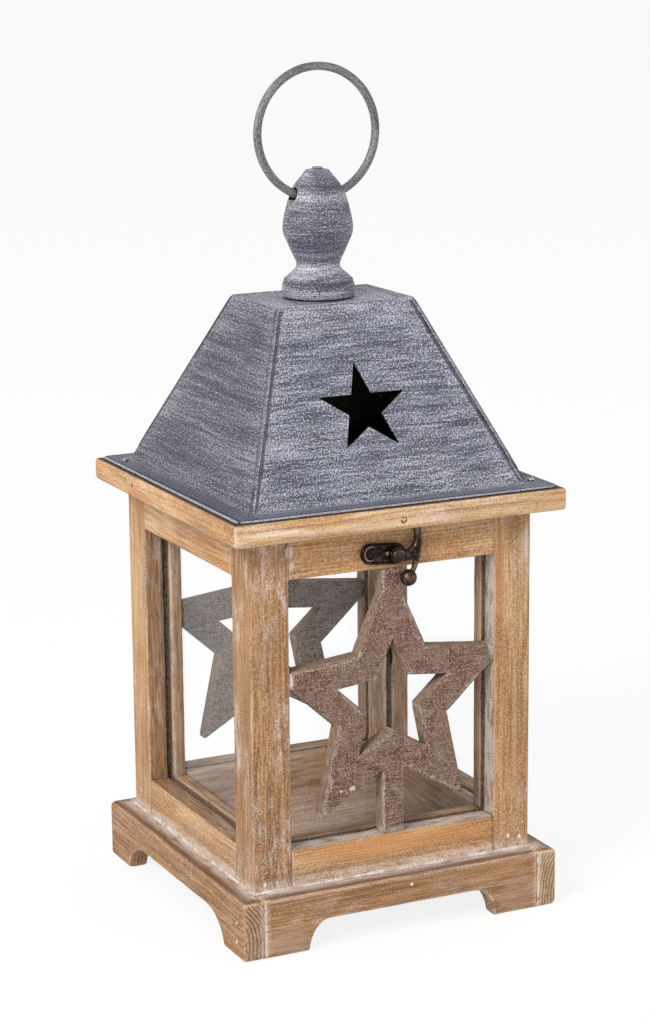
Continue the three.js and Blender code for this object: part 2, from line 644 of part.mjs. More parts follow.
const HINGE_Y = FRAME_DEPTH / 2 + FIT_GAP + KNUCKLE_RADIUS;
const HINGE_Z = LID_FOOT - FIT_GAP - KNUCKLE_RADIUS;
const HINGE_X = FRAME_WIDTH / 2 - HINGE_FROM_SIDE;
const HINGE_XS = [['left', -HINGE_X], ['right', HINGE_X]];
const FRAME_LEAF_FACE = FRAME_DEPTH / 2 + GLUE_GAP + HINGE_LEAF_THICKNESS;
const FRAME_SCREW_Z = HINGE_Z - HINGE_LEAF_DROP / 2 - KNUCKLE_RADIUS;
const LID_LEAF_FACE = LID_FOOT - GLUE_GAP - HINGE_LEAF_THICKNESS;
const LID_LEAF_START = HINGE_Y + KNUCKLE_RADIUS + FIT_GAP;
const LID_LEAF_END = LID_DEPTH / 2 - LID_LEAF_INSET;
const LID_SCREW_Y = (LID_LEAF_START + LID_LEAF_END) / 2;

// Holes in the back top rail, in the rail's own place, where +X is the lantern's -X.
function frameHingeHoles() {
  const z = FRAME_SCREW_Z - OPENING_TOP;
  return HINGE_XS.map(([, x]) => rodY(SCREW_RADIUS + BORE_GAP, [-PAST, SCREW_LENGTH], -x, z));
}

function makeHinge(group, side, x) {
  const half = HINGE_WIDTH / 2;
  const middle = MIDDLE_KNUCKLE / 2;
  const outerKnuckles = [[-half, -middle - FIT_GAP], [middle + FIT_GAP, half]];
  const knuckle = ([from, to]) => rodX(KNUCKLE_RADIUS, [from, to], HINGE_Y, HINGE_Z, ROUND_SIDES);
  const bore = rodX(HINGE_PIN_RADIUS + BORE_GAP, [-half - PAST, half + PAST], HINGE_Y, HINGE_Z);
  const frameY = [FRAME_DEPTH / 2 + GLUE_GAP, FRAME_LEAF_FACE];
  const leafTop = HINGE_Z - KNUCKLE_RADIUS - FIT_GAP;
  const frameLeaf = joined([
    block([-half, half], frameY, [leafTop - HINGE_LEAF_DROP, leafTop]),
    ...outerKnuckles.map((range) => block(range, frameY, [leafTop, HINGE_Z])),
    ...outerKnuckles.map(knuckle),
  ]);
  const sunk = (turn, y, z) => {
    const cutter = countersunkScrew(SCREW_RADIUS + BORE_GAP, SCREW_HEAD_RADIUS + BORE_GAP, SCREW_LENGTH);
    return solid(cutter.rotateX(turn).translate(0, y, z));
  };
  const backward = -Math.PI / 2;
  const downward = Math.PI;
  addPiece(group, `hinge_frame_leaf_${side}`,
    cut(frameLeaf, [bore, sunk(backward, FRAME_LEAF_FACE, FRAME_SCREW_Z)]), BRASS).position.x = x;
  const lidZ = [LID_LEAF_FACE, LID_FOOT - GLUE_GAP];
  const lidLeaf = joined([
    block([-half, half], [LID_LEAF_START, LID_LEAF_END], lidZ),
    block([-middle, middle], [HINGE_Y, LID_LEAF_START], lidZ),
    knuckle([-middle, middle]),
  ]);
  addPiece(group, `hinge_lid_leaf_${side}`,
    cut(lidLeaf, [bore, sunk(downward, LID_SCREW_Y, LID_LEAF_FACE)]), BRASS).position.x = x;
  const pin = rodX(HINGE_PIN_RADIUS, [-half, half], HINGE_Y, HINGE_Z);
  addPiece(group, `hinge_pin_${side}`, pin, STEEL).position.x = x;
  const screw = () => countersunkScrew(SCREW_RADIUS, SCREW_HEAD_RADIUS, SCREW_LENGTH - BORE_GAP);
  const frameScrew = addPiece(group, `hinge_frame_screw_${side}`, solid(screw().rotateX(backward)), STEEL);
  frameScrew.position.set(x, FRAME_LEAF_FACE - BORE_GAP / 2, FRAME_SCREW_Z);
  const lidScrew = addPiece(group, `hinge_lid_screw_${side}`, solid(screw().rotateX(downward)), STEEL);
  lidScrew.position.set(x, LID_SCREW_Y, LID_LEAF_FACE + BORE_GAP / 2);
}

function makeHinges() {
  const hinges = new THREE.Group();
  for (const [side, x] of HINGE_XS) makeHinge(hinges, side, x);
  return hinges;
}

// Lid: four mitred rails, the roof and its finial, in a group whose origin is the lid's underside

const EAR_HOLE_X = LID_WIDTH / 2 - LID_RAIL_WIDTH + EAR_REACH / 2;

// A rail along X on one side of a lid of the given length and depth, its outer face towards -Y.
function lidRail(length, depth) {
  const bar = easedBar(LID_THICKNESS, LID_RAIL_WIDTH, length, LID_EDGE);
  bar.rotateY(Math.PI / 2);
  bar.translate(0, LID_RAIL_WIDTH / 2 - depth / 2, LID_THICKNESS / 2);
  const outer = length / 2 - GLUE_GAP;
  const inner = outer - LID_RAIL_WIDTH;
  const mitre = new THREE.Shape([
    new THREE.Vector2(-outer, -depth / 2),
    new THREE.Vector2(outer, -depth / 2),
    new THREE.Vector2(inner, LID_RAIL_WIDTH - depth / 2),
    new THREE.Vector2(-inner, LID_RAIL_WIDTH - depth / 2),
  ]);
  const wedge = new THREE.ExtrudeGeometry(mitre, { depth: LID_THICKNESS, bevelEnabled: false });
  return solid(bar).intersect(solid(wedge));
}

// The blind slot that the horn rises into, and the keeper pin's bore across it.
const SLOT_BACK = FRAME_DEPTH / 2 + HOOK_BACK - 2 * FIT_GAP;
const SLOT_FRONT = FRAME_DEPTH / 2 + HOOK_FRONT + SLOT_TIP_ROOM;
const KEEPER_SEAT = -LID_DEPTH / 2 + KEEPER_HEAD_HEIGHT + GLUE_GAP;

function slotCutters() {
  const underside = LID_FOOT - PIVOT_Z;
  const closing = HOOK_CLOSING_ANGLE * Math.PI / 180;
  const left = LATCH_X + HORN_TIP_X - HORN_REACH * Math.sin(closing) - 2 * FIT_GAP;
  const right = LATCH_X + Math.sqrt(HORN_REACH ** 2 - underside ** 2) + 3 * FIT_GAP;
  const top = HORN_REACH - underside + 2 * FIT_GAP;
  const slot = block([left, right], [-SLOT_BACK, -SLOT_FRONT], [-PAST, top]);
  const boreEnd = SLOT_BACK - KEEPER_PAST_SLOT - BORE_GAP;
  const bore = rodY(KEEPER_RADIUS + BORE_GAP, [-LID_DEPTH / 2, -boreEnd], KEEPER_X, KEEPER_RISE);
  const seatY = [-LID_DEPTH / 2 - PAST, KEEPER_SEAT];
  const seat = rodY(KEEPER_HEAD_RADIUS + BORE_GAP, seatY, KEEPER_X, KEEPER_RISE);
  return [slot, bore, seat];
}

function lidScrewHoles() {
  return HINGE_XS.map(([, x]) => rodZ(SCREW_RADIUS + BORE_GAP, [-PAST, SCREW_LENGTH], x, LID_SCREW_Y));
}

// One screw in each side of the flange, near the back on the left and near the front on the right.
const ROOF_SCREWS = { left: [-ROOF_SCREW_X, ROOF_SCREW_Y], right: [ROOF_SCREW_X, -ROOF_SCREW_Y] };

function roofScrewHole(side) {
  const range = [LID_THICKNESS - ROOF_SCREW_LENGTH - BORE_GAP, LID_THICKNESS + PAST];
  return rodZ(ROOF_SCREW_RADIUS + BORE_GAP, range, ...ROOF_SCREWS[side]);
}

function earScrewHole(x) {
  return rodZ(SCREW_RADIUS + BORE_GAP, [LID_THICKNESS - SCREW_LENGTH, LID_THICKNESS + PAST], x * EAR_HOLE_X);
}

// A four-sided block that narrows from its foot to its top.
function frustum([footX, footY], [topX, topY], [z0, z1]) {
  const box = new THREE.BoxGeometry(1, 1, z1 - z0);
  const places = box.attributes.position;
  for (let i = 0; i < places.count; i++) {
    const onTop = places.getZ(i) > 0;
    places.setX(i, Math.sign(places.getX(i)) * (onTop ? topX : footX));
    places.setY(i, Math.sign(places.getY(i)) * (onTop ? topY : footY));
  }
  box.translate(0, 0, (z0 + z1) / 2);
  return solid(box);
}

// The roof in the lid's group: flange, four sloping sides and the flat top, folded from one sheet.
function roofShell() {
  const foot = LID_THICKNESS + GLUE_GAP;
  const top = ROOF_HEIGHT + LID_THICKNESS;
  const rise = top - foot;
  const halfFoot = [ROOF_FOOT_WIDTH / 2, ROOF_FOOT_DEPTH / 2];
  const halfTop = [ROOF_TOP_WIDTH / 2, ROOF_TOP_DEPTH / 2];
  const run = halfFoot.map((half, axis) => half - halfTop[axis]);
  const wall = run.map((across) => SHEET * Math.hypot(across, rise) / rise);
  const halfAt = (height, axis) => halfFoot[axis] - run[axis] * (height - foot) / rise - wall[axis];
  const hollowZ = [foot - PAST, top - SHEET];
  const [low, high] = hollowZ.map((height) => [halfAt(height, 0), halfAt(height, 1)]);
  const flange = new THREE.ExtrudeGeometry(roundRect(FLANGE_WIDTH, FLANGE_DEPTH, FLANGE_CORNER), {
    depth: SHEET,
    bevelEnabled: false,
    curveSegments: 3,
  });
  flange.translate(0, 0, foot);
  const outside = frustum(halfFoot, halfTop, [foot, top]).add(solid(flange));
  const shell = outside.subtract(frustum(low, high, hollowZ));
  const cutters = [-1, 1].map((side) => roofStar(side, run[1], rise, foot));
  cutters.push(rodZ(FINIAL_SCREW_RADIUS + BORE_GAP, [top - SHEET - PAST, top + PAST], FINIAL_X));
  for (const place of Object.values(ROOF_SCREWS)) {
    cutters.push(rodZ(ROOF_SCREW_RADIUS + BORE_GAP, [foot - PAST, foot + SHEET + PAST], ...place));
  }
  return cut(shell, cutters);
}

// The cutter for the star in the front side (-1) or the back side (1) of the roof.
function roofStar(side, run, rise, foot) {
  const notch = ROOF_STAR_RADIUS * Math.sin(Math.PI / 10) / Math.sin(3 * Math.PI / 10);
  const depth = 8 * SHEET;
  const star = plate(new THREE.Shape(starPoints(ROOF_STAR_RADIUS, notch)), depth);
  star.translate(ROOF_STAR_SHIFT, 0, -depth / 2);
  const slope = Math.hypot(run, rise);
  const along = new THREE.Vector3(1, 0, 0);
  const up = new THREE.Vector3(0, run / slope, rise / slope);
  const out = new THREE.Vector3().crossVectors(along, up);
  const seat = up.clone().multiplyScalar(ROOF_STAR_MIDDLE);
  star.applyMatrix4(new THREE.Matrix4().makeBasis(along, up, out));
  star.translate(0, seat.y - ROOF_FOOT_DEPTH / 2, seat.z + foot);
  if (side > 0) star.rotateZ(Math.PI);
  return solid(star);
}

// How far the ring's wire rises between the middle of the finial and the mouths of its bore.
const FINIAL_HALF_CHORD = 0.82 * FINIAL_EGG_RADIUS; // the finial's half width at the bore
const RING_SAG = RING_RADIUS - Math.sqrt(RING_RADIUS ** 2 - FINIAL_HALF_CHORD ** 2);
const RING_BORE = RING_WIRE_RADIUS + RING_SAG / 2 + FIT_GAP;
const RING_RISE = RING_RADIUS - RING_SAG / 2; // from the ring's axis to its middle

function finial() {
  const neckRise = FINIAL_EGG_HEIGHT - FINIAL_NECK_HEIGHT;
  const eggFall = FINIAL_SHOULDER_HEIGHT - FINIAL_EGG_HEIGHT;
  const swell = FINIAL_EGG_RADIUS - FINIAL_NECK_RADIUS;
  const curve = new THREE.SplineCurve([
    new THREE.Vector2(FINIAL_FOOT_RADIUS * 0.98, 0),
    new THREE.Vector2(FINIAL_FOOT_RADIUS, FINIAL_FOOT_HEIGHT / 2),
    new THREE.Vector2(FINIAL_FOOT_RADIUS * 0.94, FINIAL_FOOT_HEIGHT),
    new THREE.Vector2(FINIAL_NECK_RADIUS * 1.12, FINIAL_NECK_HEIGHT * 0.78),
    new THREE.Vector2(FINIAL_NECK_RADIUS, FINIAL_NECK_HEIGHT),
    new THREE.Vector2(FINIAL_NECK_RADIUS + swell * 0.55, FINIAL_NECK_HEIGHT + neckRise / 2),
    new THREE.Vector2(FINIAL_EGG_RADIUS, FINIAL_EGG_HEIGHT),
    new THREE.Vector2(FINIAL_EGG_RADIUS * 0.89, FINIAL_EGG_HEIGHT + eggFall * 0.4),
    new THREE.Vector2(FINIAL_EGG_RADIUS * 0.71, FINIAL_EGG_HEIGHT + eggFall * 0.7),
    new THREE.Vector2(FINIAL_SHOULDER_RADIUS, FINIAL_SHOULDER_HEIGHT),
  ]);
  const nubTop = FINIAL_SHOULDER_HEIGHT + FINIAL_NUB_HEIGHT;
  const points = [
    new THREE.Vector2(0, 0),
    ...curve.getPoints(FINIAL_RINGS),
    new THREE.Vector2(FINIAL_NUB_RADIUS, FINIAL_SHOULDER_HEIGHT + FINIAL_NUB_HEIGHT / 3),
    new THREE.Vector2(FINIAL_NUB_RADIUS, nubTop),
    new THREE.Vector2(0, nubTop),
  ];
  const turned = new THREE.LatheGeometry(points, FINIAL_SIDES);
  turned.rotateX(Math.PI / 2);
  const reach = 2 * FINIAL_EGG_RADIUS;
  const ringBore = rodX(RING_BORE, [-reach, reach], 0, RING_AXIS_HEIGHT - GLUE_GAP, ROUND_SIDES);
  const pilot = rodZ(FINIAL_SCREW_RADIUS + BORE_GAP, [-PAST, FINIAL_SCREW_LENGTH]);
  return cut(solid(turned), [ringBore, pilot]);
}

function makeLid() {
  const lid = new THREE.Group();
  lid.position.z = LID_FOOT;
  const sides = [
    ['front', 0, LID_WIDTH, LID_DEPTH, slotCutters()],
    ['right', 1, LID_DEPTH, LID_WIDTH, []],
    ['back', 2, LID_WIDTH, LID_DEPTH, []],
    ['left', 3, LID_DEPTH, LID_WIDTH, []],
  ];
  for (const [side, quarter, length, depth, cutters] of sides) {
    let rail = cut(lidRail(length, depth), cutters).rotate([0, 0, 90 * quarter]);
    if (side === 'back') rail = cut(rail, lidScrewHoles());
    if (side === 'right') rail = cut(rail, [roofScrewHole(side), earScrewHole(1)]);
    if (side === 'left') rail = cut(rail, [roofScrewHole(side), earScrewHole(-1)]);
    addPiece(lid, `lid_rail_${side}`, rail, WOOD);
  }
  addPiece(lid, 'roof', roofShell(), ZINC);
  const flangeTop = LID_THICKNESS + GLUE_GAP + SHEET;
  for (const [side, place] of Object.entries(ROOF_SCREWS)) {
    const screw = domedScrew(ROOF_SCREW_RADIUS, ROOF_SCREW_HEAD, SHEET, ROOF_SCREW_LENGTH + SHEET / 2);
    const mesh = addPiece(lid, `roof_screw_${side}`, solid(screw), STEEL);
    mesh.position.set(...place, flangeTop + GLUE_GAP);
  }
  const keeperHead = KEEPER_SEAT - GLUE_GAP; // where the head's flat back lies
  const keeperLength = -keeperHead - SLOT_BACK + KEEPER_PAST_SLOT;
  const keeper = domedScrew(KEEPER_RADIUS, KEEPER_HEAD_RADIUS, KEEPER_HEAD_HEIGHT, keeperLength);
  const keeperPin = addPiece(lid, 'keeper_pin', solid(keeper.rotateX(Math.PI / 2)), BRASS);
  keeperPin.position.set(KEEPER_X, keeperHead, KEEPER_RISE);
  const roofTop = LID_THICKNESS + ROOF_HEIGHT;
  addPiece(lid, 'finial', finial(), ZINC).position.set(FINIAL_X, 0, roofTop + GLUE_GAP);
  const headHeight = FINIAL_SCREW_HEAD / 2;
  const screw = domedScrew(FINIAL_SCREW_RADIUS, FINIAL_SCREW_HEAD, headHeight, FINIAL_SCREW_LENGTH);
  const finialScrew = addPiece(lid, 'finial_screw', solid(screw.rotateX(Math.PI)), STEEL);
  finialScrew.position.set(FINIAL_X, 0, roofTop - SHEET - GLUE_GAP);
  const ring = new THREE.TorusGeometry(RING_RADIUS, RING_WIRE_RADIUS, RING_SIDES, RING_STEPS);
  ring.rotateX(Math.PI / 2);
  const ringMesh = addPiece(lid, 'ring_handle', solid(ring), ZINC);
  ringMesh.position.set(FINIAL_X, 0, roofTop + RING_AXIS_HEIGHT + RING_RISE);
  lid.add(makeLight());
  return lid;
}

// Battery light: hangs from two ears on the lid's side rails. Its group's origin is the ears' underside.

const BAY_LENGTH = CELL_LENGTH + CELL_NUB_LENGTH + 2 * CONTACT_ROOM;
const BAY_DEPTH = 4 * CELL_RADIUS + 3 * CELL_CREVICE;
const LIGHT_DEPTH = BAY_DEPTH + LIGHT_STRIP_DEPTH + 3 * LIGHT_WALL;
const LIGHT_X = BAY_LENGTH / 2 + LIGHT_WALL;
const LIGHT_FRONT = -LIGHT_DEPTH / 2;
const LIGHT_BACK = LIGHT_DEPTH / 2;
const STRIP_Y = [LIGHT_FRONT + LIGHT_WALL, LIGHT_FRONT + LIGHT_WALL + LIGHT_STRIP_DEPTH];
const BAY_Y = [STRIP_Y[1] + LIGHT_WALL, LIGHT_BACK - LIGHT_WALL];
const LIGHT_FOOT = EAR_THICKNESS - LIGHT_WALL - LIGHT_BAY_HEIGHT - DOOR_THICKNESS;
const STRIP_MIDDLE = (STRIP_Y[0] + STRIP_Y[1]) / 2;
const DOOR_TOP = LIGHT_FOOT + DOOR_THICKNESS;
const BARREL_Y = BAY_Y[1] - FIT_GAP - DOOR_BARREL_RADIUS;
const BARREL_Z = LIGHT_FOOT + DOOR_BARREL_RADIUS;
const BOARD_FOOT = LIGHT_FOOT + LIGHT_WALL + BOARD_HEIGHT;
const CELL_Z = DOOR_TOP + FIT_GAP + CELL_RADIUS;

function lightHousing() {
  const bayX = [-BAY_LENGTH / 2, BAY_LENGTH / 2];
  const floorZ = [LIGHT_FOOT - PAST, LIGHT_FOOT + LIGHT_WALL + PAST];
  const box = block([-LIGHT_X, LIGHT_X], [LIGHT_FRONT, LIGHT_BACK], [LIGHT_FOOT, EAR_THICKNESS]);
  const earEnd = LID_WIDTH / 2 - LID_RAIL_WIDTH + EAR_REACH;
  const ears = block([-earEnd, earEnd], [-EAR_DEPTH / 2, EAR_DEPTH / 2], [0, EAR_THICKNESS]);
  const bay = block(bayX, BAY_Y, [LIGHT_FOOT - PAST, EAR_THICKNESS - LIGHT_WALL]);
  const strip = block(bayX, STRIP_Y, [LIGHT_FOOT + LIGHT_WALL, EAR_THICKNESS + PAST]);
  const slotHalf = (SWITCH_NECK + SWITCH_TRAVEL) / 2 + FIT_GAP;
  const slotX = SWITCH_X + SWITCH_TRAVEL / 2;
  const neckHalf = SWITCH_NECK / 2 + FIT_GAP;
  const cutters = [
    bay,
    strip,
    rodZ(LED_RADIUS + FIT_GAP, floorZ, 0, STRIP_MIDDLE, ROUND_SIDES),
    block([slotX - slotHalf, slotX + slotHalf], [STRIP_MIDDLE - neckHalf, STRIP_MIDDLE + neckHalf], floorZ),
    rodX(DOOR_PIN_RADIUS + BORE_GAP, [-LIGHT_X - PAST, LIGHT_X + PAST], BARREL_Y, BARREL_Z),
    ...[-1, 1].map((x) => rodZ(SCREW_RADIUS + BORE_GAP, [-PAST, EAR_THICKNESS + PAST], x * EAR_HOLE_X)),
    ...[-1, 1].map((x) => contactNotch(x)),
  ];
  const boardPosts = [-1, 1].map((x) => block(
    [x * BAY_LENGTH / 2, x * (BAY_LENGTH / 2 - BOARD_POST)],
    [STRIP_Y[0], STRIP_Y[0] + BOARD_POST], [LIGHT_FOOT + LIGHT_WALL, BOARD_FOOT]));
  return joined([cut(box.add(ears), cutters), ...boardPosts]);
}

// The contacts stand at one end of the bay and pass through a notch in the wall between bay and strip.
const CONTACT_TOP = BOARD_FOOT + BOARD_THICKNESS;
const CONTACT_X = [BAY_LENGTH / 2 - FIT_GAP - CONTACT_THICKNESS, BAY_LENGTH / 2 - FIT_GAP];
const CONTACT_BACK = BARREL_Y - DOOR_BARREL_RADIUS - FIT_GAP;

function contactNotch(x) {
  const [near, far] = CONTACT_X;
  return block([x * (near - FIT_GAP), x * (far + FIT_GAP)], [STRIP_Y[1] - BORE_GAP, BAY_Y[0] + BORE_GAP],
    [BOARD_FOOT - FIT_GAP, EAR_THICKNESS + PAST]);
}

function makeLight() {
  const light = new THREE.Group();
  light.position.z = LID_THICKNESS + GLUE_GAP;
  addPiece(light, 'light_housing', lightHousing(), BLACK_PLASTIC);
  for (const [side, x] of [['left', -1], ['right', 1]]) {
    const screw = domedScrew(SCREW_RADIUS, LATCH_SCREW_HEAD, LATCH_RIM_HEIGHT, SCREW_LENGTH + BORE_GAP);
    const mesh = addPiece(light, `light_screw_${side}`, solid(screw), STEEL);
    mesh.position.set(x * EAR_HOLE_X, 0, EAR_THICKNESS + GLUE_GAP);
  }

  // Battery door: a flat lid with a barrel along its back edge and a pin at each end of it
  const doorX = BAY_LENGTH / 2 - FIT_GAP;
  const doorPlate = block([-doorX, doorX], [BAY_Y[0] + FIT_GAP, BARREL_Y], [LIGHT_FOOT, DOOR_TOP]);
  const barrel = rodX(DOOR_BARREL_RADIUS, [-doorX, doorX], BARREL_Y, BARREL_Z, ROUND_SIDES);
  const pins = rodX(DOOR_PIN_RADIUS, [-LIGHT_X, LIGHT_X], BARREL_Y, BARREL_Z);
  const nail = block([-CELL_RADIUS, CELL_RADIUS],
    [BAY_Y[0] + LIGHT_WALL, BAY_Y[0] + 2 * LIGHT_WALL], [LIGHT_FOOT - DOOR_THICKNESS / 2, DOOR_TOP]);
  addPiece(light, 'battery_door', joined([doorPlate, barrel, pins, nail]), BLACK_PLASTIC);

  // Two cells side by side, nubs to opposite ends
  const cellX = CELL_LENGTH / 2;
  const profile = [
    [0, CELL_NUB_LENGTH / 2 + cellX], [CELL_NUB_RADIUS, CELL_NUB_LENGTH / 2 + cellX],
    [CELL_NUB_RADIUS, cellX - CELL_NUB_LENGTH / 2], [CELL_RADIUS, cellX - CELL_NUB_LENGTH / 2],
    [CELL_RADIUS, -cellX - CELL_NUB_LENGTH / 2], [0, -cellX - CELL_NUB_LENGTH / 2],
  ];
  const cellPlaces = [
    ['cell_front', BAY_Y[0] + CELL_CREVICE + CELL_RADIUS, Math.PI / 2],
    ['cell_back', BAY_Y[1] - CELL_CREVICE - CELL_RADIUS, -Math.PI / 2],
  ];
  for (const [name, y, turn] of cellPlaces) {
    const cell = addPiece(light, name, solid(lathe(profile, ROUND_SIDES).rotateY(turn)), CELL_WRAP);
    cell.position.set(0, y, CELL_Z);
  }
  const bridgeX = [-CONTACT_X[0], -CONTACT_X[1]];
  const contactZ = [CELL_Z - CELL_RADIUS + FIT_GAP, CELL_Z + CELL_RADIUS - FIT_GAP];
  const bridge = block(bridgeX, [BAY_Y[0] + FIT_GAP, CONTACT_BACK], contactZ);
  const bumps = cellPlaces.map(([, y]) => rodX(CELL_NUB_RADIUS,
    [-CONTACT_X[0] - GLUE_GAP, -cellX - CELL_NUB_LENGTH / 2 - FIT_GAP], y, CELL_Z));
  addPiece(light, 'cell_bridge', joined([bridge, ...bumps]), STEEL);

  // Circuit board with its contact strip at the other end of the bay
  const boardX = BAY_LENGTH / 2 - FIT_GAP;
  const boardZ = [BOARD_FOOT, CONTACT_TOP];
  const board = block([-boardX, boardX], [STRIP_Y[0] + FIT_GAP, STRIP_Y[1] - FIT_GAP], boardZ);
  const arm = block(CONTACT_X, [STRIP_Y[1] - 2 * FIT_GAP, CONTACT_BACK], boardZ);
  const tabs = cellPlaces.map(([, y]) => block(CONTACT_X, [y - CELL_NUB_RADIUS, y + CELL_NUB_RADIUS],
    [CELL_Z - CELL_NUB_RADIUS, CONTACT_TOP]));
  const studs = cellPlaces.map(([, y]) => rodX(CELL_NUB_RADIUS,
    [CONTACT_X[0] + GLUE_GAP, cellX + CELL_NUB_LENGTH / 2 + FIT_GAP], y, CELL_Z));
  const circuit = addPiece(light, 'circuit_board', joined([board, arm, ...tabs, ...studs]), BOARD);
  circuit.position.z = GLUE_GAP;

  // LED under the board, its dome through the housing
  const ledTop = BOARD_FOOT;
  const domeFoot = LIGHT_FOOT - LED_DROP;
  const bend = Math.SQRT1_2;
  const ledProfile = [
    [0, ledTop], [LED_FLANGE_RADIUS, ledTop], [LED_FLANGE_RADIUS, LIGHT_FOOT + LIGHT_WALL + FIT_GAP],
    [LED_RADIUS, LIGHT_FOOT + LIGHT_WALL + FIT_GAP], [LED_RADIUS, domeFoot + LED_RADIUS],
    [LED_RADIUS * bend, domeFoot + LED_RADIUS * (1 - bend)], [0, domeFoot],
  ];
  addPiece(light, 'led', solid(lathe(ledProfile, ROUND_SIDES)), LED_RESIN).position.y = STRIP_MIDDLE;

  // Slide switch: a knob outside, a neck through the slot and a runner inside
  const neck = SWITCH_NECK / 2;
  const knobZ = [LIGHT_FOOT - FIT_GAP - SWITCH_DROP, LIGHT_FOOT - FIT_GAP];
  const runnerZ = [LIGHT_FOOT + LIGHT_WALL + FIT_GAP, LIGHT_FOOT + 2 * LIGHT_WALL];
  const square = (width, depth, range) => block([-width / 2, width / 2], [-depth / 2, depth / 2], range);
  const knob = joined([
    square(SWITCH_WIDTH, SWITCH_DEPTH + SWITCH_NECK, knobZ),
    square(2 * neck, 2 * neck, [knobZ[0], runnerZ[1]]),
    square(SWITCH_WIDTH, SWITCH_DEPTH + SWITCH_NECK, runnerZ),
  ]);
  addPiece(light, 'switch_knob', knob, BLACK_PLASTIC).position.set(SWITCH_X, STRIP_MIDDLE, 0);
  return light;
}

const lantern = new THREE.Group();
lantern.name = 'lantern';
lantern.add(makeBase(), makeFrame(), makeLatch(), makeHinges(), makeLid());

export default lantern;
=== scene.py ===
"""The looks of a wooden lantern with a sheet-metal roof: camera, light, worn pieces and procedural finishes.

The model's frame is in metres: +Z up, the front faces -Y. Patterns and turned profiles are in millimetres.
"""

import json
import math
import random

import bmesh
import bpy
from mathutils import Matrix, Vector, noise
from mathutils.bvhtree import BVHTree


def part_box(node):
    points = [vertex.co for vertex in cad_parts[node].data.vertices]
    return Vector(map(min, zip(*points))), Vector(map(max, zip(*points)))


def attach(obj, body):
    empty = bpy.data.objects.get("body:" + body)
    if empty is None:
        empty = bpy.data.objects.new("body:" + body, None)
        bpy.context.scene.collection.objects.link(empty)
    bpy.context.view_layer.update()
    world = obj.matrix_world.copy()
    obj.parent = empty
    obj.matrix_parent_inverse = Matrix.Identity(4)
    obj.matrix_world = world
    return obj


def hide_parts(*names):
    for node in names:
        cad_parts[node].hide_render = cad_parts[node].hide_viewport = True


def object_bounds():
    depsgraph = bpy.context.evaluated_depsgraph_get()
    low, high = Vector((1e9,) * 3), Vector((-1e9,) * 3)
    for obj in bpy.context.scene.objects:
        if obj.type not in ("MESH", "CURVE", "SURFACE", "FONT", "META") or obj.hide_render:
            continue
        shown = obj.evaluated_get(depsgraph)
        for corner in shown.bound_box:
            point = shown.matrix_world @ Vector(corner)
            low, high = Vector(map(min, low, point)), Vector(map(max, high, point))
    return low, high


MM = 0.001
WELD = 0.00001
SMOOTH_ANGLE = math.radians(50)

# The photograph's view: angles round the model, the camera's place, and the focal length in its pixels
VIEW_TURN = math.radians(-25.768)
VIEW_RISE = math.radians(12.910)
VIEW_ROLL = math.radians(-0.527)
CAMERA_PLACE = Vector((-0.496909, -1.030096, 0.430166))
FOCAL_PIXELS = 2725.2
PHOTO_HEIGHT = 1019
SENSOR = 36.0

# Studio
DOME_LIGHT = 0.72
FLOOR_GLOW = 0.86
FLOOR_HALF = 20.0
FLOOR_GAP = 0.05 * MM  # the floor lies this far below the feet
WHITE = (1, 1, 1)
LAMPS = [  # name, place, width in metres, power in watts
    ("key", (-1.5, -0.9, 1.3), 0.8, 36),
    ("right", (1.5, -1.1, 0.8), 0.9, 6),
]

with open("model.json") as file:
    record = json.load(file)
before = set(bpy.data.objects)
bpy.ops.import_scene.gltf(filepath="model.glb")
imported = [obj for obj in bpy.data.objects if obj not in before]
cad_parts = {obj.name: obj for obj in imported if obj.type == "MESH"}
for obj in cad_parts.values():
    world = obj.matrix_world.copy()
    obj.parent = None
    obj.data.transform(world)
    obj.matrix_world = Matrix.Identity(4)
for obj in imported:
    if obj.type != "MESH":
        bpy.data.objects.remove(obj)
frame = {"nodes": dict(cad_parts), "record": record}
cad_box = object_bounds()
node_body = {node: body for body, nodes in frame["record"]["behaviour"]["bodies"].items() for node in nodes}
node_slot = {part["node"]: part["material_slot"] for part in frame["record"]["subparts"]}


def srgb(red, green, blue):
    """A colour as seen on screen, 0 to 255, in the linear values that shaders take."""
    return tuple(((c / 255 + 0.055) / 1.055) ** 2.4 if c > 10 else c / 255 / 12.92 for c in (red, green, blue))


# Node trees


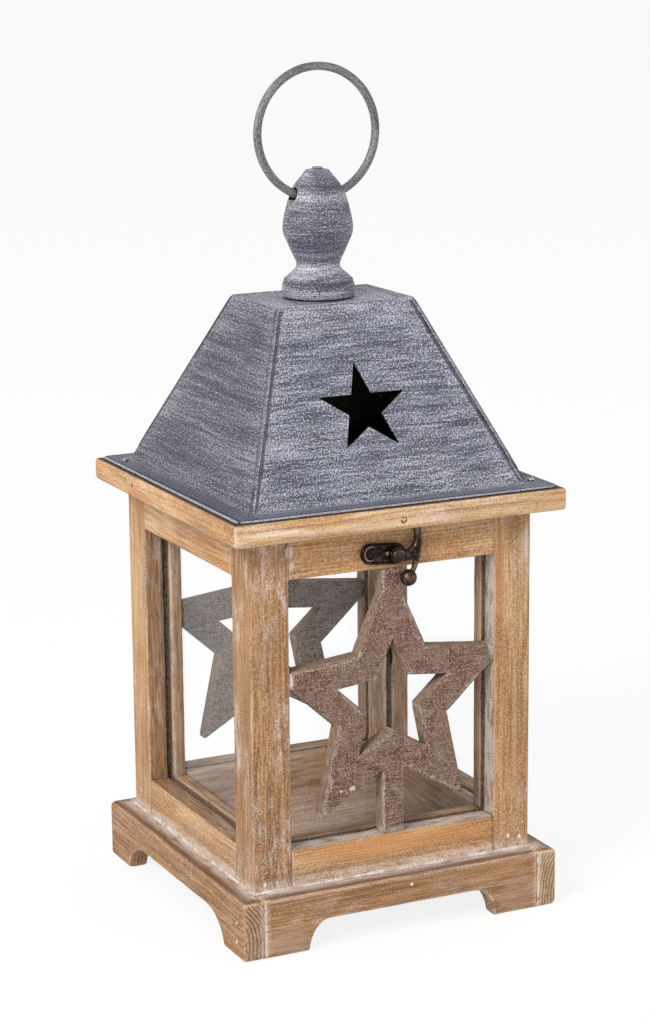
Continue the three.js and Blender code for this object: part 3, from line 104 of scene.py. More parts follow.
class Graph:
    """A node tree, with one short call for each kind of node."""

    def __init__(self, name, tree=None):
        if tree is None:
            self.material = bpy.data.materials.new(name)
            self.material.use_nodes = True
            tree = self.material.node_tree
        self.tree = tree
        self.tree.nodes.clear()

    def node(self, kind, inputs=(), **settings):
        made = self.tree.nodes.new(f"ShaderNode{kind}")
        for key, value in settings.items():
            setattr(made, key, value)
        for key, value in dict(inputs).items():
            self.plug(made.inputs[key], value)
        return made

    def plug(self, socket, value):
        if isinstance(value, bpy.types.NodeSocket):
            self.tree.links.new(value, socket)
        elif socket.type == "RGBA":
            socket.default_value = (*value, 1) if len(value) == 3 else value
        else:
            socket.default_value = value

    def shade(self, kind, **inputs):
        return self.node(kind, inputs).outputs[0]

    def attribute(self, name, output="Vector"):
        return self.node("Attribute", attribute_name=name).outputs[output]

    def amounts(self, *names):
        """Attributes that are one number each."""
        return [self.attribute(name, "Fac") for name in names]

    def place(self):
        """The point's place on the model, in millimetres."""
        return self.stretch(self.node("TexCoord").outputs["Object"], 1 / MM)

    def vector(self, operation, first, second, output=0):
        return self.node("VectorMath", {0: first, 1: second}, operation=operation).outputs[output]

    def stretch(self, vector, factors):
        """The vector times three factors, or times one."""
        return self.vector("MULTIPLY", vector, (factors,) * 3 if isinstance(factors, float) else factors)

    def shift(self, vector, offset):
        return self.vector("ADD", vector, offset)

    def measure(self, operation, first, second=(0, 0, 0)):
        return self.vector(operation, first, second, "Value")

    def axes(self, vector):
        return self.node("SeparateXYZ", {0: vector}).outputs[:]

    def math(self, operation, first, second=0.0):
        return self.node("Math", {0: first, 1: second}, operation=operation).outputs[0]

    def times(self, *values):
        product = values[0]
        for value in values[1:]:
            product = self.math("MULTIPLY", product, value)
        return product

    def most(self, first, second):
        return self.math("MAXIMUM", first, second)

    def size(self, value):
        return self.math("ABSOLUTE", value)

    def minus(self, first, second):
        return self.math("SUBTRACT", first, second)

    def apart(self, first, second):
        return self.size(self.minus(first, second))

    def sum(self, *pairs):
        """The sum of values, each times its weight."""
        total = 0.0
        for value, weight in pairs:
            total = self.node("Math", {0: value, 1: weight, 2: total}, operation="MULTIPLY_ADD").outputs[0]
        return total

    def reach(self, x, y):
        """How far out to a side the point is, whichever side that is."""
        return self.most(self.size(x), self.size(y))

    def spots(self, colour, place, spots):
        """The colour with spots on it: (middle, half sizes, tint, strength)."""
        around = self.bent(place, 0.6, 1.9)
        for middle, halves, tint, strength in spots:
            away = self.stretch(self.shift(around, [-part for part in middle]), [1 / half for half in halves])
            near = self.window(self.measure("LENGTH", away), 1.1, 0.5, 0.0, strength)
            colour = self.blend(near, colour, tint)
        return colour

    def noise(self, vector, factors, detail=3.0, rough=0.5, output="Fac"):
        return self.node("TexNoise", {"Vector": self.stretch(vector, factors), "Scale": 1.0, "Detail": detail,
                                      "Roughness": rough}).outputs[output]

    def bent(self, vector, factors, reach):
        """The vector, pushed about by slow noise."""
        push = self.shift(self.noise(vector, factors, 2, 0.5, "Color"), (-0.5, -0.5, -0.5))
        return self.shift(vector, self.stretch(push, reach))

    def window(self, value, low, high, start=0.0, end=1.0):
        """A smooth step from start, where the value is low, to end, where it is high."""
        return self.node("MapRange", {"Value": value, "From Min": low, "From Max": high, "To Min": start,
                                      "To Max": end}, interpolation_type="SMOOTHSTEP").outputs["Result"]

    def blend(self, amount, first, second):
        """The first colour turned to the second by this amount. A plain colour is given as seen on screen."""
        first, second = (srgb(*colour) if isinstance(colour, tuple) else colour for colour in (first, second))
        return self.node("Mix", {"Factor": amount, 6: first, 7: second}, data_type="RGBA").outputs[2]

    def coats(self, colour, *coats):
        """The colour under coats of (amount, tint), with the last on top."""
        for amount, tint in coats:
            colour = self.blend(amount, colour, tint)
        return colour

    def mix(self, amount, first, second):
        return self.node("MixShader", {0: amount, 1: first, 2: second}).outputs[0]

    def bump(self, height, depth, strength):
        """Bumps of so many millimetres."""
        return self.shade("Bump", Height=height, Distance=depth * MM, Strength=strength)

    def hidden(self, reach):
        """How closed in the point is within so many millimetres: 0 in the open, 1 deep in a corner."""
        made = self.node("AmbientOcclusion", {"Distance": reach * MM}, samples=8)
        return self.minus(1.0, made.outputs["AO"])

    def seen_directly(self):
        """1 for rays from the camera, mirrors and glass, 0 for the rays that light the object."""
        path = self.node("LightPath")
        direct = self.most(path.outputs["Is Camera Ray"], path.outputs["Is Glossy Ray"])
        return self.most(direct, path.outputs["Is Transmission Ray"])

    def finish(self, shader, kind="OutputMaterial"):
        self.node(kind, {"Surface": shader})

    def surface(self, **sockets):
        inputs = {key.replace("_", " "): value for key, value in sockets.items()}
        self.finish(self.node("BsdfPrincipled", inputs).outputs[0])
        return self.material


# Camera, light and floor


def link(name, data):
    """Adds an object with this data to the scene."""
    thing = bpy.data.objects.new(name, data)
    bpy.context.scene.collection.objects.link(thing)
    return thing


def add_camera():
    data = bpy.data.cameras.new("camera")
    data.sensor_width = SENSOR
    data.lens = FOCAL_PIXELS / PHOTO_HEIGHT * SENSOR
    data.clip_start = 0.05
    camera = link("camera", data)
    aim = Matrix.Rotation(VIEW_TURN, 4, "Z") @ Matrix.Rotation(math.pi / 2 - VIEW_RISE, 4, "X")
    camera.matrix_world = Matrix.Translation(CAMERA_PLACE) @ aim @ Matrix.Rotation(VIEW_ROLL, 4, "Z")
    bpy.context.scene.camera = camera


def add_soft_light(name, place, size, power):
    data = bpy.data.lights.new(name, "AREA")
    data.shape = "DISK"
    data.size = size
    data.energy = power
    lamp = link(name, data)
    lamp.location = place
    middle = (cad_box[0] + cad_box[1]) / 2
    lamp.rotation_euler = (middle - lamp.location).to_track_quat("-Z", "Y").to_euler()


def add_studio():
    scene = bpy.context.scene
    scene.view_settings.view_transform = "Standard"
    scene.world = bpy.data.worlds.new("studio")
    scene.world.use_nodes = True
    g = Graph("studio", scene.world.node_tree)
    dome = g.shade("Background", Color=WHITE, Strength=DOME_LIGHT)
    g.finish(g.mix(g.seen_directly(), dome, g.shade("Background", Color=WHITE, Strength=1.0)), "OutputWorld")
    for lamp in LAMPS:
        add_soft_light(*lamp)

    g = Graph("paper_white")
    matte = g.shade("BsdfDiffuse", Color=(0.9, 0.9, 0.9))
    glow = g.shade("Emission", Color=WHITE, Strength=1.0)
    g.finish(g.mix(g.times(g.seen_directly(), FLOOR_GLOW), matte, glow))
    mesh = bpy.data.meshes.new("floor")
    corners = [(FLOOR_HALF * x, FLOOR_HALF * y, 0) for x, y in ((-1, -1), (1, -1), (1, 1), (-1, 1))]
    mesh.from_pydata(corners, [], [(0, 1, 2, 3)])
    mesh.materials.append(g.material)
    floor = link("floor", mesh)
    floor.location.z = -FLOOR_GAP


# Finishes

RING_SPACING = 1.6
GLASS_LINE = 56.1  # from the middle of the lantern to the dark gap before each pane
OPENING_HALF = 47.4  # half the width of each opening in the frame
OPENING_FOOT = 41.9
OPENING_TOP = 156.9
FRAME_FACE = 65.0  # from the middle to the frame's faces
BASE_TOP = 25.5
BASE_SEAM = 64.3  # where the base's front and back rails meet its side rails
LIME = (216, 209, 202)
PUTTY = (228, 222, 214)
# A blue-black for painted shade on the metal: in its creases and corners, and beside its seams and folds
PAINTED_SHADE = (34, 34, 46)
# Knots, stains, filled nail holes and lime, each (middle, half sizes, tint, strength), in millimetres
WOOD_SPOTS = [
    ((-76, 22, 177.4), (3, 19, 2.3), (184, 124, 74), 0.7),
    ((-76, 31.6, 180.2), (1.2, 1.4, 1.2), (88, 54, 34), 0.9),
    ((43.4, -74, 4.6), (2.6, 2.2, 3.0), (96, 82, 66), 0.6),
    ((-58.0, -76, 179.9), (15, 2, 1.5), (224, 210, 198), 0.5),
    ((-10.0, -76, 178.4), (46, 2, 1.7), (214, 190, 164), 0.4),
    ((36.0, -76, 181.0), (36, 2, 0.5), (126, 92, 62), 0.5),
    ((-60.0, -65, 29.1), (0.9, 0.9, 1.1), PUTTY, 0.95),
    ((-54.6, -65, 29.0), (0.7, 0.7, 1.0), PUTTY, 0.8),
    ((54.8, -65, 31.4), (0.8, 0.8, 1.2), PUTTY, 0.9),
    ((60.2, -65, 30.5), (0.8, 0.8, 1.2), PUTTY, 0.9),
    ((3.5, -74, 21.5), (0.8, 0.8, 0.8), PUTTY, 0.8),
    ((-74, -67.1, 15.6), (0.8, 0.9, 0.9), PUTTY, 0.7),
    ((-74, -66.8, 7.4), (0.8, 0.9, 0.9), PUTTY, 0.7),
    ((50.0, -65, 148.0), (3, 2, 24), (172, 112, 76), 0.4),
    ((0.0, -65, 37.5), (52, 2, 5), (196, 136, 80), 0.5),
    ((-53.0, -74, 6.0), (11, 2, 7), (164, 134, 116), 0.5),
    ((55.0, -74, 10.0), (9, 2, 9), (160, 128, 110), 0.45),
    ((62.5, -65, 160.0), (1.6, 2, 9), LIME, 0.4),
    ((-47.2, -65, 168.5), (2.0, 2, 3.2), LIME, 0.55),
    ((-46.2, -65, 162.5), (1.5, 2, 2.4), LIME, 0.4),
    ((-48.5, -65, 171.5), (0.8, 2, 1.6), (74, 62, 56), 0.8),
]
LATCH_RIM = ((-10.9, 0, 163.9), 2.9)  # the middle and the radius of the plate's rim
STAR_SPOTS = [
    ((-19.3, -64.6, 64.2), (1.8, 2, 1.2), PUTTY, 0.5),
    ((-24.7, -64.6, 63.6), (0.9, 2, 0.8), PUTTY, 0.45),
    ((-11.5, -64.6, 143.5), (1.4, 3, 8.0), (206, 186, 150), 0.55),
    ((46.9, -62, 117.0), (2.4, 6, 5.0), LIME, 0.6),
    ((-47.2, -62, 114.0), (1.6, 6, 5.0), LIME, 0.55),
    ((0, -62, 43), (8, 4, 2.6), LIME, 0.4),
]


def limed_wood(name, pale, mid, dark, golden):
    """Brushed and limed pine. The grain runs along the third part of the attribute grain, in millimetres. The
    attribute haze says how thick the lime is, and deep how dark the piece is. Reveal marks the stained faces
    round the openings, and end the sawn ends."""
    g = Graph(name)
    at, place = g.attribute("grain"), g.place()
    edge, reveal, end, haze, deep = g.amounts("edge", "reveal", "end", "haze", "deep")
    x, y, z = g.axes(place)
    lines = g.bent(at, (0.035, 0.035, 0.009), (7, 7, 0))

    ring = g.math("FRACT", g.math("DIVIDE", g.measure("LENGTH", g.stretch(lines, (1, 1, 0))), RING_SPACING))
    late = g.times(g.window(ring, 0.3, 0.85), g.window(ring, 1.0, 0.9))
    tone = g.noise(at, (0.07, 0.07, 0.02), 4, 0.6)
    patch = g.noise(at, (0.06, 0.06, 0.02), 2)
    streak = g.noise(lines, (0.6, 0.6, 0.012), 3, 0.65)
    fibre = g.noise(lines, (1.3, 1.3, 0.025), 3, 0.7)
    grit = g.noise(at, (1.5, 1.5, 1.4), 1, 0.6)
    grime = g.noise(at, (0.7, 0.7, 0.06), 3, 0.7)
    lined = g.sum((deep, 0.55), (1.0, 0.55))

    reach = g.reach(x, y)
    outside = g.window(reach, GLASS_LINE - 0.5, GLASS_LINE + 0.3)
    at_front = g.window(y, -54.0, -56.0)
    tan = g.blend(outside, (166, 136, 106), g.blend(at_front, (150, 116, 88), (148, 130, 124)))
    brown = g.blend(outside, (110, 82, 61), g.blend(at_front, (88, 60, 44), (88, 66, 62)))
    colour = g.coats(
        pale,
        (g.window(g.sum((tone, 1.0), (deep, 0.25)), 0.38, 0.62), mid),
        (g.times(late, g.window(tone, 0.3, 0.6, 0.2, 0.6)), dark),
        (g.window(patch, 0.45, 0.65, 0.0, 0.5), golden),
        (g.times(g.window(streak, 0.47, 0.64), lined, 0.75), dark),
        (g.times(g.window(fibre, 0.48, 0.36, 0.0, 0.45), lined), (216, 180, 138)),
        (g.times(g.window(fibre, 0.52, 0.66, 0.0, 0.55), lined), dark),
        (g.times(g.window(grime, 0.52, 0.68, 0.0, 0.42), lined), (104, 70, 42)),
        (g.window(grit, 0.51, 0.64, 0.0, 0.34), (88, 56, 32)),
        (g.window(grit, 0.47, 0.36, 0.0, 0.26), (230, 200, 164)),
        (g.times(late, end, 0.65), (92, 64, 44)),
        (g.times(g.window(late, 0.4, 0.0), end, 0.2), LIME),
        (g.times(deep, 0.35), (92, 58, 32)),
        (g.times(reveal, 0.68), g.blend(g.window(grime, 0.38, 0.62), tan, brown)))

    # How closed in each point is: it sets both the lime in the joints and the painted shade deep in the corners
    corner = g.hidden(5)
    lime = g.noise(at, (0.35, 0.35, 0.1), 5, 0.75)
    broad = g.noise(at, (0.07, 0.07, 0.03), 2, 0.5)
    scratch = g.noise(at, (0.3, 0.3, 1.4), 3, 0.7)
    height = g.minus(z, BASE_TOP)
    out = g.minus(reach, FRAME_FACE)
    open_lime = g.times(g.window(lime, 0.42, 0.66), g.window(broad, 0.4, 0.64), 0.6)
    edge_lime = g.times(g.window(edge, 0.0, 0.9), g.window(lime, 0.34, 0.56), 0.85)
    joint_lime = g.times(g.window(corner, 0.42, 0.75), g.window(lime, 0.34, 0.56), 0.7)
    limed = g.times(g.most(g.most(open_lime, edge_lime), joint_lime), haze)
    rail_lime = g.times(g.window(lime, 0.36, 0.54), reveal, at_front, g.window(height, 1.0, 2.0), 0.6)
    crease = g.math("SQRT", g.sum((g.times(height, height), 1.0), (g.times(out, out), 1.0)))
    crease_lime = g.times(g.window(crease, 6.5, 0.8), g.window(lime, 0.3, 0.54), 0.85)
    on_post = g.window(g.math("MINIMUM", g.size(x), g.size(y)), 47.0, 48.0)
    low_down = g.times(g.window(height, 24.0, 8.0), g.window(height, -1.0, 1.0), on_post)
    scratches = g.times(g.window(scratch, 0.5, 0.66), low_down, 0.45)
    limed = g.most(g.most(limed, crease_lime), g.most(scratches, rail_lime))
    seam = g.apart(g.size(x), BASE_SEAM)
    colour = g.coats(
        colour,
        (g.times(limed, g.window(grit, 0.6, 0.42, 0.5, 1.0)), LIME),
        # Painted shade: the wood darkened deep in the corners
        (g.window(corner, 0.75, 0.98, 0.0, 0.6), (58, 42, 32)),
        (g.times(g.window(seam, 3.4, -1.0), g.window(height, 0.5, -1.0), g.window(lime, 0.34, 0.6), 0.6), LIME),
        # Painted shade: a dark line on the base's top where its rounded arris begins to turn down
        (g.times(g.window(g.apart(out, 6.6), 1.2, 0.3), g.window(height, -1.0, -0.3), 0.6), (96, 68, 52)),
        # The rubbed arrises, lighter from wear, also carry a painted highlight along the rounded edges
        (g.times(g.window(edge, 0.5, 1.0), g.window(g.noise(at, (0.25, 0.25, 0.06), 3), 0.4, 0.56), 0.6),
         (212, 164, 110)))
    # Painted shade: a near-black line in the gap between each pane and its groove, on the faces round the
    # openings
    for at_side in (x, y):
        gap = g.window(g.apart(g.size(at_side), GLASS_LINE), 0.42, 0.36)
        colour = g.coats(colour, (g.times(gap, g.window(height, 0.5, 1.5), reveal), (20, 16, 14)))
    # Painted shadow: the lid's top under the roof's flange darkened nearly to black
    painted_shadow_under_roof = g.times(g.window(z, 183.3, 183.9), g.window(out, 10.3, 9.7), 0.92)
    colour = g.spots(g.coats(colour, (painted_shadow_under_roof, (40, 28, 24))), place, WOOD_SPOTS)

    relief = g.sum((fibre, 1.0), (grit, -0.5), (grime, -0.5))
    return g.surface(Base_Color=colour, Roughness=g.window(fibre, 0.3, 0.7, 0.55, 0.75),
                     Normal=g.bump(relief, 0.3, 0.7), Specular_IOR_Level=0.25)


def stained_wood(name, dark, mid, light, sawn):
    """Dark stained wood, brushed thin, so that the pale wood speckles through. The attribute reveal marks its
    sawn edges, and end its bare face."""
    g = Graph(name)
    at = g.attribute("grain")
    edge, side, back = g.amounts("edge", "reveal", "end")
    tone = g.noise(at, (0.06, 0.06, 0.05), 3, 0.6)
    level = g.noise(at, (0.12, 1.3, 1.3), 2, 0.7)
    upright = g.noise(at, (1.3, 1.3, 0.12), 2, 0.7)
    grit = g.noise(at, 1.7, 1, 0.6)
    grains = g.noise(at, 0.75, 3, 0.7)
    blot = g.noise(at, (0.16, 0.16, 0.12), 4, 0.65)

    mottle = g.sum((level, 0.22), (upright, 0.13), (grit, 0.5), (grains, 0.11), (tone, 0.1), (blot, 0.06))
    pale_spots = g.window(mottle, 0.48, 0.6)
    colour = g.coats(
        dark,
        (g.window(mottle, 0.43, 0.56), mid),
        (g.window(mottle, 0.54, 0.66), light),
        (g.window(tone, 0.46, 0.62, 0.0, 0.35), (106, 88, 76)),
        (g.window(blot, 0.5, 0.66, 0.0, 0.25), (138, 122, 112)),
        (g.times(side, 0.8), g.coats((112, 92, 76), (g.window(upright, 0.4, 0.62), sawn),
                                     (g.window(grit, 0.5, 0.64, 0.0, 0.6), (84, 64, 50)))),
        (g.times(back, 0.85), g.blend(pale_spots, (54, 40, 35), (200, 184, 172))),
        (g.times(g.window(edge, 0.2, 1.0), pale_spots, 0.5), (198, 184, 168)),
        # Painted shade: the stained wood darkened in its corners
        (g.window(g.hidden(4), 0.4, 0.85, 0.0, 0.5), (58, 44, 38)))
    colour = g.spots(colour, g.place(), STAR_SPOTS)
    return g.surface(Base_Color=colour, Roughness=g.window(grit, 0.3, 0.7, 0.6, 0.8),
                     Normal=g.bump(mottle, 0.5, 0.7), Specular_IOR_Level=0.25)


def dry_brushed_zinc(name, dark, grey, silver, swing, is_roof=False):
    """Slate grey paint with silver dragged over it. The strokes run along the first part of the attribute
    stroke, in millimetres, and its second part counts across them. The attribute pale thickens the silver, by
    swing; on the roof's side panels it is lowered as painted shade, and on the finial it also holds a painted
    sheen, paler at the sides seen from the camera and darker on the part facing it. Reveal is 1 on the black
    inside."""
    g = Graph(name)
    at = g.bent(g.attribute("stroke"), (0.02, 0.02, 1), (0, 3, 0))
    edge, pale, inner = g.amounts("edge", "pale", "reveal")
    clouds = g.noise(at, (0.03, 0.06, 1), 3, 0.6)
    bands = g.noise(at, (0.03, 0.3, 1), 3, 0.65)
    hairs = g.noise(at, (0.06, 1.1, 1), 3, 0.8)
    specks = g.noise(at, (1.6, 1.75, 1), 1, 0.5)
    grains = g.noise(at, (0.7, 1.0, 1), 2, 0.6)

    level = g.sum((clouds, 0.13), (bands, 0.14), (hairs, 0.24), (specks, 0.5), (grains, 0.18), (pale, swing))
    silvered = g.window(level, 0.57, 0.72)
    colour = g.coats(
        dark,
        (g.window(g.sum((bands, 0.5), (hairs, 0.5)), 0.4, 0.6), grey),
        (g.window(level, 0.58, 0.5, 0.0, 0.8), (44, 44, 56)),
        (g.times(silvered, 0.9), silver),
        (g.times(g.window(edge, 0.72, 1.0), g.window(specks, 0.36, 0.56, 0.2, 0.9)), silver))
    if is_roof:
        colour = roof_lines(g, colour, specks)
    # Painted shade in the creases and corners, then the black inside
    colour = g.coats(colour, (g.window(g.hidden(3), 0.3, 0.7, 0.0, 0.85), PAINTED_SHADE), (inner, (14, 14, 16)))
    relief = g.sum((silvered, 0.4), (specks, 0.8), (hairs, 0.6))
    return g.surface(Base_Color=colour, Metallic=g.times(silvered, 0.25),
                     Roughness=g.window(silvered, 0, 1, 0.6, 0.45), Normal=g.bump(relief, 0.2, 0.8))


def roof_lines(g, colour, specks):
    """The roof's painted shade: dark lines beside the seams on its hips and in the open seams at their feet,
    a dark line in the crease round its foot inside the pale outer lip, and darker side panels.
    """
    place = g.place()
    x, y, z = g.axes(place)
    up = g.math("DIVIDE", g.minus(z, ROOF_FOOT.z / MM), (ROOF_TOP.z - ROOF_FOOT.z) / MM)
    insets = []  # how far in from the planes of the side panels, and of the front and back panels
    for at, foot, top in ((x, ROOF_FOOT.x, ROOF_TOP.x), (y, ROOF_FOOT.y, ROOF_TOP.y)):
        insets.append(g.minus(g.sum((up, (top - foot) / MM), (1.0, foot / MM)), g.size(at)))
    from_side, from_front = insets
    on_side = g.window(from_side, 1.2, 0.9)
    on_panel = g.times(g.window(up, 0.015, 0.03), g.window(up, 0.99, 0.975))
    wavy = g.sum((g.noise(place, 0.1, 2), 1.2), (1.0, -0.6))
    beside = g.window(g.size(g.sum((from_side, 1.0), (wavy, 1.0), (1.0, -2.6))), 1.1, 0.5)
    before = g.window(g.size(g.sum((from_front, 1.0), (wavy, 0.5), (1.0, -0.3))), 0.9, 0.4)
    # Painted shade: dark lines beside the hip seams, and in the open seams at their feet
    fold_shade = g.sum((g.times(g.window(from_front, 1.2, 0.9), beside), 0.75), (g.times(on_side, before), 0.75))
    on_hip = g.window(g.sum((from_side, 1.0), (from_front, 1.0)), 1.0, 0.5)
    slit_shade = g.times(on_hip, g.window(up, 0.15, 0.1), 0.8)
    reach = g.sum((g.reach(x, y), 1.0), (wavy, 0.25))
    on_flange = g.window(z, FLANGE_TOP + 0.6, FLANGE_TOP)
    shadow = g.times(on_flange, g.window(specks, 0.4, 0.62, 0.8, 0.45), g.window(reach, 64.6, 66.5, 0.3, 1.0))
    lip = g.times(on_flange, g.window(reach, 72.4, 72.8), g.window(specks, 0.38, 0.58, 0.25, 0.85))
    return g.coats(
        colour,
        # Painted shade: the side panels darkened
        (g.times(on_side, 0.4), (34, 32, 31)),
        # Painted shade beside the hip seams and in their open feet
        (g.times(g.most(fold_shade, slit_shade), on_panel), PAINTED_SHADE),
        (shadow, (62, 66, 84)),
        # Painted shade: a dark line in the crease round the flange, inside the pale lip
        (g.times(on_flange, g.window(g.apart(reach, 71.8), 0.9, 0.5)), PAINTED_SHADE),
        (lip, (196, 194, 202)))


def clear_glass(name, across):
    """A thin clear pane: what lies behind shows through a faint tint, with mirror reflections and dust. It is
    broad along the axis numbered across. Beyond the opening, where it is bedded in its groove, it is dull with
    sawdust and lime."""
    g = Graph(name)
    place = g.place()
    axes = g.axes(place)
    through = g.shade("BsdfTransparent", Color=(0.997, 0.998, 0.999))
    mirror = g.shade("BsdfGlossy", Color=WHITE, Roughness=0.02)
    dust = g.shade("BsdfDiffuse", Color=(0.75, 0.73, 0.7))
    speckle = g.window(g.noise(place, 0.8, 3, 0.7), 0.4, 0.6)
    dull = g.shade("BsdfDiffuse", Color=g.blend(speckle, (96, 76, 62), (142, 120, 102)))
    shape = g.node("NewGeometry")
    outward = g.window(g.measure("DOT_PRODUCT", shape.outputs["Normal"], place), 0.0, 1.0)
    outside = g.times(g.minus(1.0, shape.outputs["Backfacing"]), outward)
    edge_on = g.times(g.shade("Fresnel", IOR=1.45), outside, 0.75)
    smear = g.times(g.window(g.noise(place, (0.05, 0.05, 0.03), 5, 0.6), 0.4, 0.75, 0.006, 0.03), outside)
    clear = g.mix(smear, g.mix(edge_on, through, mirror), dust)
    beside = g.window(g.size(axes[across]), OPENING_HALF, OPENING_HALF + 0.2)
    below = g.window(axes[2], OPENING_FOOT, OPENING_FOOT - 0.2)
    above = g.window(axes[2], OPENING_TOP, OPENING_TOP + 0.2)
    g.finish(g.mix(g.most(beside, g.most(below, above)), clear, dull))
    return g.material


def aged_metal(name, dark, bright, worn, metal=0.85, rough=(0.26, 0.42), rim=None):
    """Darkened metal that shines through where it is worn at random and along its arrises, where the wear also
    stands for painted highlights. On the left of the rim, round a middle and so far from it, lies a thin
    painted highlight, and within the rim the metal is blue-black. Corners are darkened as painted shade."""
    g = Graph(name)
    at = g.place()
    cloud = g.noise(at, 0.5, 4, 0.6)
    grain = g.noise(at, 3.5, 4, 0.65)
    wear_and_highlight = g.times(g.window(*g.amounts("edge"), 0.3, 1.0), g.window(cloud, 0.35, 0.6, 0.25, 0.9))
    wear_and_highlight = g.most(wear_and_highlight, g.window(g.math("ADD", cloud, g.times(grain, 0.35)), 0.68, 0.9, 0.0, worn))
    colour = g.blend(wear_and_highlight, dark, bright)
    if rim:
        middle, radius = rim
        away = g.measure("DISTANCE", g.stretch(at, (1, 0, 1)), middle)
        leftward = g.window(g.axes(at)[0], middle[0] + 2.5, middle[0] - 0.5)
        colour = g.coats(
            colour,
            (g.window(away, radius, radius - 0.6, 0.0, 0.45), (20, 19, 27)),
            # Painted highlight: a thin pale line on the left of the rim
            (g.times(g.window(g.apart(away, radius), 0.3, 0.05), leftward, 0.6), (196, 164, 146)))
    # Painted shade: darkened nearly to black in corners and where the piece meets others
    colour = g.blend(g.window(g.hidden(1.5), 0.3, 0.8, 0.0, 0.8), colour, (12, 9, 8))
    return g.surface(Base_Color=colour, Metallic=metal, Roughness=g.window(grain, 0.3, 0.7, *rough),
                     Normal=g.bump(grain, 0.08, 0.6))


def plastic(name, colour, tint, rough, bare=None):
    """Moulded plastic with a fine texture, and bare metal where the attribute bare says so."""
    g = Graph(name)
    at = g.place()
    grain = g.noise(at, 5.0, 3, 0.6)
    shade = g.blend(g.window(g.noise(at, 0.08, 3), 0.3, 0.7), colour, tint)
    sockets = {"Roughness": g.window(grain, 0.3, 0.7, rough, rough + 0.12)}
    if bare:
        metal, = g.amounts("bare")
        shade = g.blend(metal, shade, bare)
        sockets["Metallic"] = metal
    return g.surface(Base_Color=shade, Normal=g.bump(grain, 0.02, 0.5), **sockets)


def lime_putty(name):
    """The chalky filler that the brush left in the corners."""
    g = Graph(name)
    at = g.place()
    crumbs = g.noise(at, 1.4, 2, 0.7)
    dirt = g.noise(at, 0.12, 3, 0.6)
    colour = g.coats(
        (216, 208, 201),
        (g.window(crumbs, 0.42, 0.62, 0.0, 0.7), (160, 138, 120)),
        (g.window(dirt, 0.42, 0.6, 0.0, 0.75), (168, 138, 112)))
    return g.surface(Base_Color=colour, Roughness=g.window(crumbs, 0.3, 0.7, 0.8, 0.95),
                     Normal=g.bump(crumbs, 0.25, 0.8), Specular_IOR_Level=0.15)


STEEL = (196, 196, 198)
SLATE = ((60, 62, 76), (90, 92, 106))
FINISHES = {
    "honey_wood": (limed_wood, (204, 166, 124), (174, 132, 90), (120, 82, 50), (194, 140, 86)),
    "floor_wood": (limed_wood, (186, 158, 138), (156, 126, 106), (110, 82, 66), (160, 126, 104)),
    "star_wood": (stained_wood, (62, 40, 34), (103, 75, 63), (158, 132, 116), (164, 144, 122)),
    "pane_glass_x": (clear_glass, 0),
    "pane_glass_y": (clear_glass, 1),
    "roof_sheet": (dry_brushed_zinc, *SLATE, (188, 188, 198), 0.06, True),
    "finial_metal": (dry_brushed_zinc, *SLATE, (188, 185, 192), 0.075),
    "ring_metal": (dry_brushed_zinc, (48, 43, 48), (68, 62, 68), (146, 142, 147), 0.1),
    "dark_bronze": (aged_metal, (29, 21, 20), (172, 142, 120), 0.22, 0.85, (0.26, 0.42), LATCH_RIM),
    "hinge_brass": (aged_metal, (150, 116, 62), (216, 180, 108), 0.7, 1.0, (0.25, 0.4)),
    "screw_steel": (aged_metal, (150, 150, 152), STEEL, 0.6, 1.0, (0.25, 0.42)),
    "black_plastic": (plastic, (38, 38, 41), (46, 46, 49), 0.42),
    "cell_wrap": (plastic, (60, 74, 70), (74, 88, 84), 0.28, STEEL),
    "lime_putty": (lime_putty,),
    "board_green": (plastic, (32, 84, 52), (42, 98, 62), 0.35, (206, 170, 96)),
    "led_resin": (plastic, (240, 226, 180), (246, 236, 200), 0.12),
}


# Meshes

KINDS = {"grain": ("FLOAT_VECTOR", "POINT"), "stroke": ("FLOAT_VECTOR", "CORNER"), "reveal": ("FLOAT", "FACE"),
         "end": ("FLOAT", "FACE"), "bare": ("FLOAT", "FACE")}  # any other attribute is a number for each vertex


def lump(x, y, z):
    """Smooth noise, from -1 to 1."""
    return noise.noise(Vector((x, y, z)))


def outward_corners(mesh):
    """Each vertex's sharpest outward corner, from 0 on a flat to 1 on an arris."""
    found = []
    for vertex in mesh.verts:
        sharpest = 0.0
        for edge in vertex.link_edges:
            if len(edge.link_faces) == 2 and edge.is_convex:
                sharpest = max(sharpest, edge.calc_face_angle(0.0))
        found.append(min(1.0, max(0.0, (math.degrees(sharpest) - 12) / 28)))
    return found


def cut_at(mesh, axis, places):
    """Cuts every face along the planes at these places on an axis."""
    normal = Vector((axis == 0, axis == 1, axis == 2))
    for place in places:
        everything = mesh.verts[:] + mesh.edges[:] + mesh.faces[:]
        bmesh.ops.bisect_plane(mesh, geom=everything, dist=WELD, plane_co=normal * place, plane_no=normal)


def slice_up(mesh, cell):
    """Cuts a mesh into small cells, so that its surface can bend."""
    for axis in range(3):
        places = [vertex.co[axis] for vertex in mesh.verts]
        low, high = min(places), max(places)
        count = round((high - low) / cell)
        cut_at(mesh, axis, [low + (high - low) * step / count for step in range(1, count)])


def copy_of(node):
    """A node's mesh with its flat faces whole again."""
    mesh = bmesh.new()
    mesh.from_mesh(frame["nodes"][node].data)
    bmesh.ops.remove_doubles(mesh, verts=mesh.verts, dist=WELD)
    bmesh.ops.dissolve_limit(mesh, angle_limit=math.radians(0.6), verts=mesh.verts, edges=mesh.edges)
    return mesh


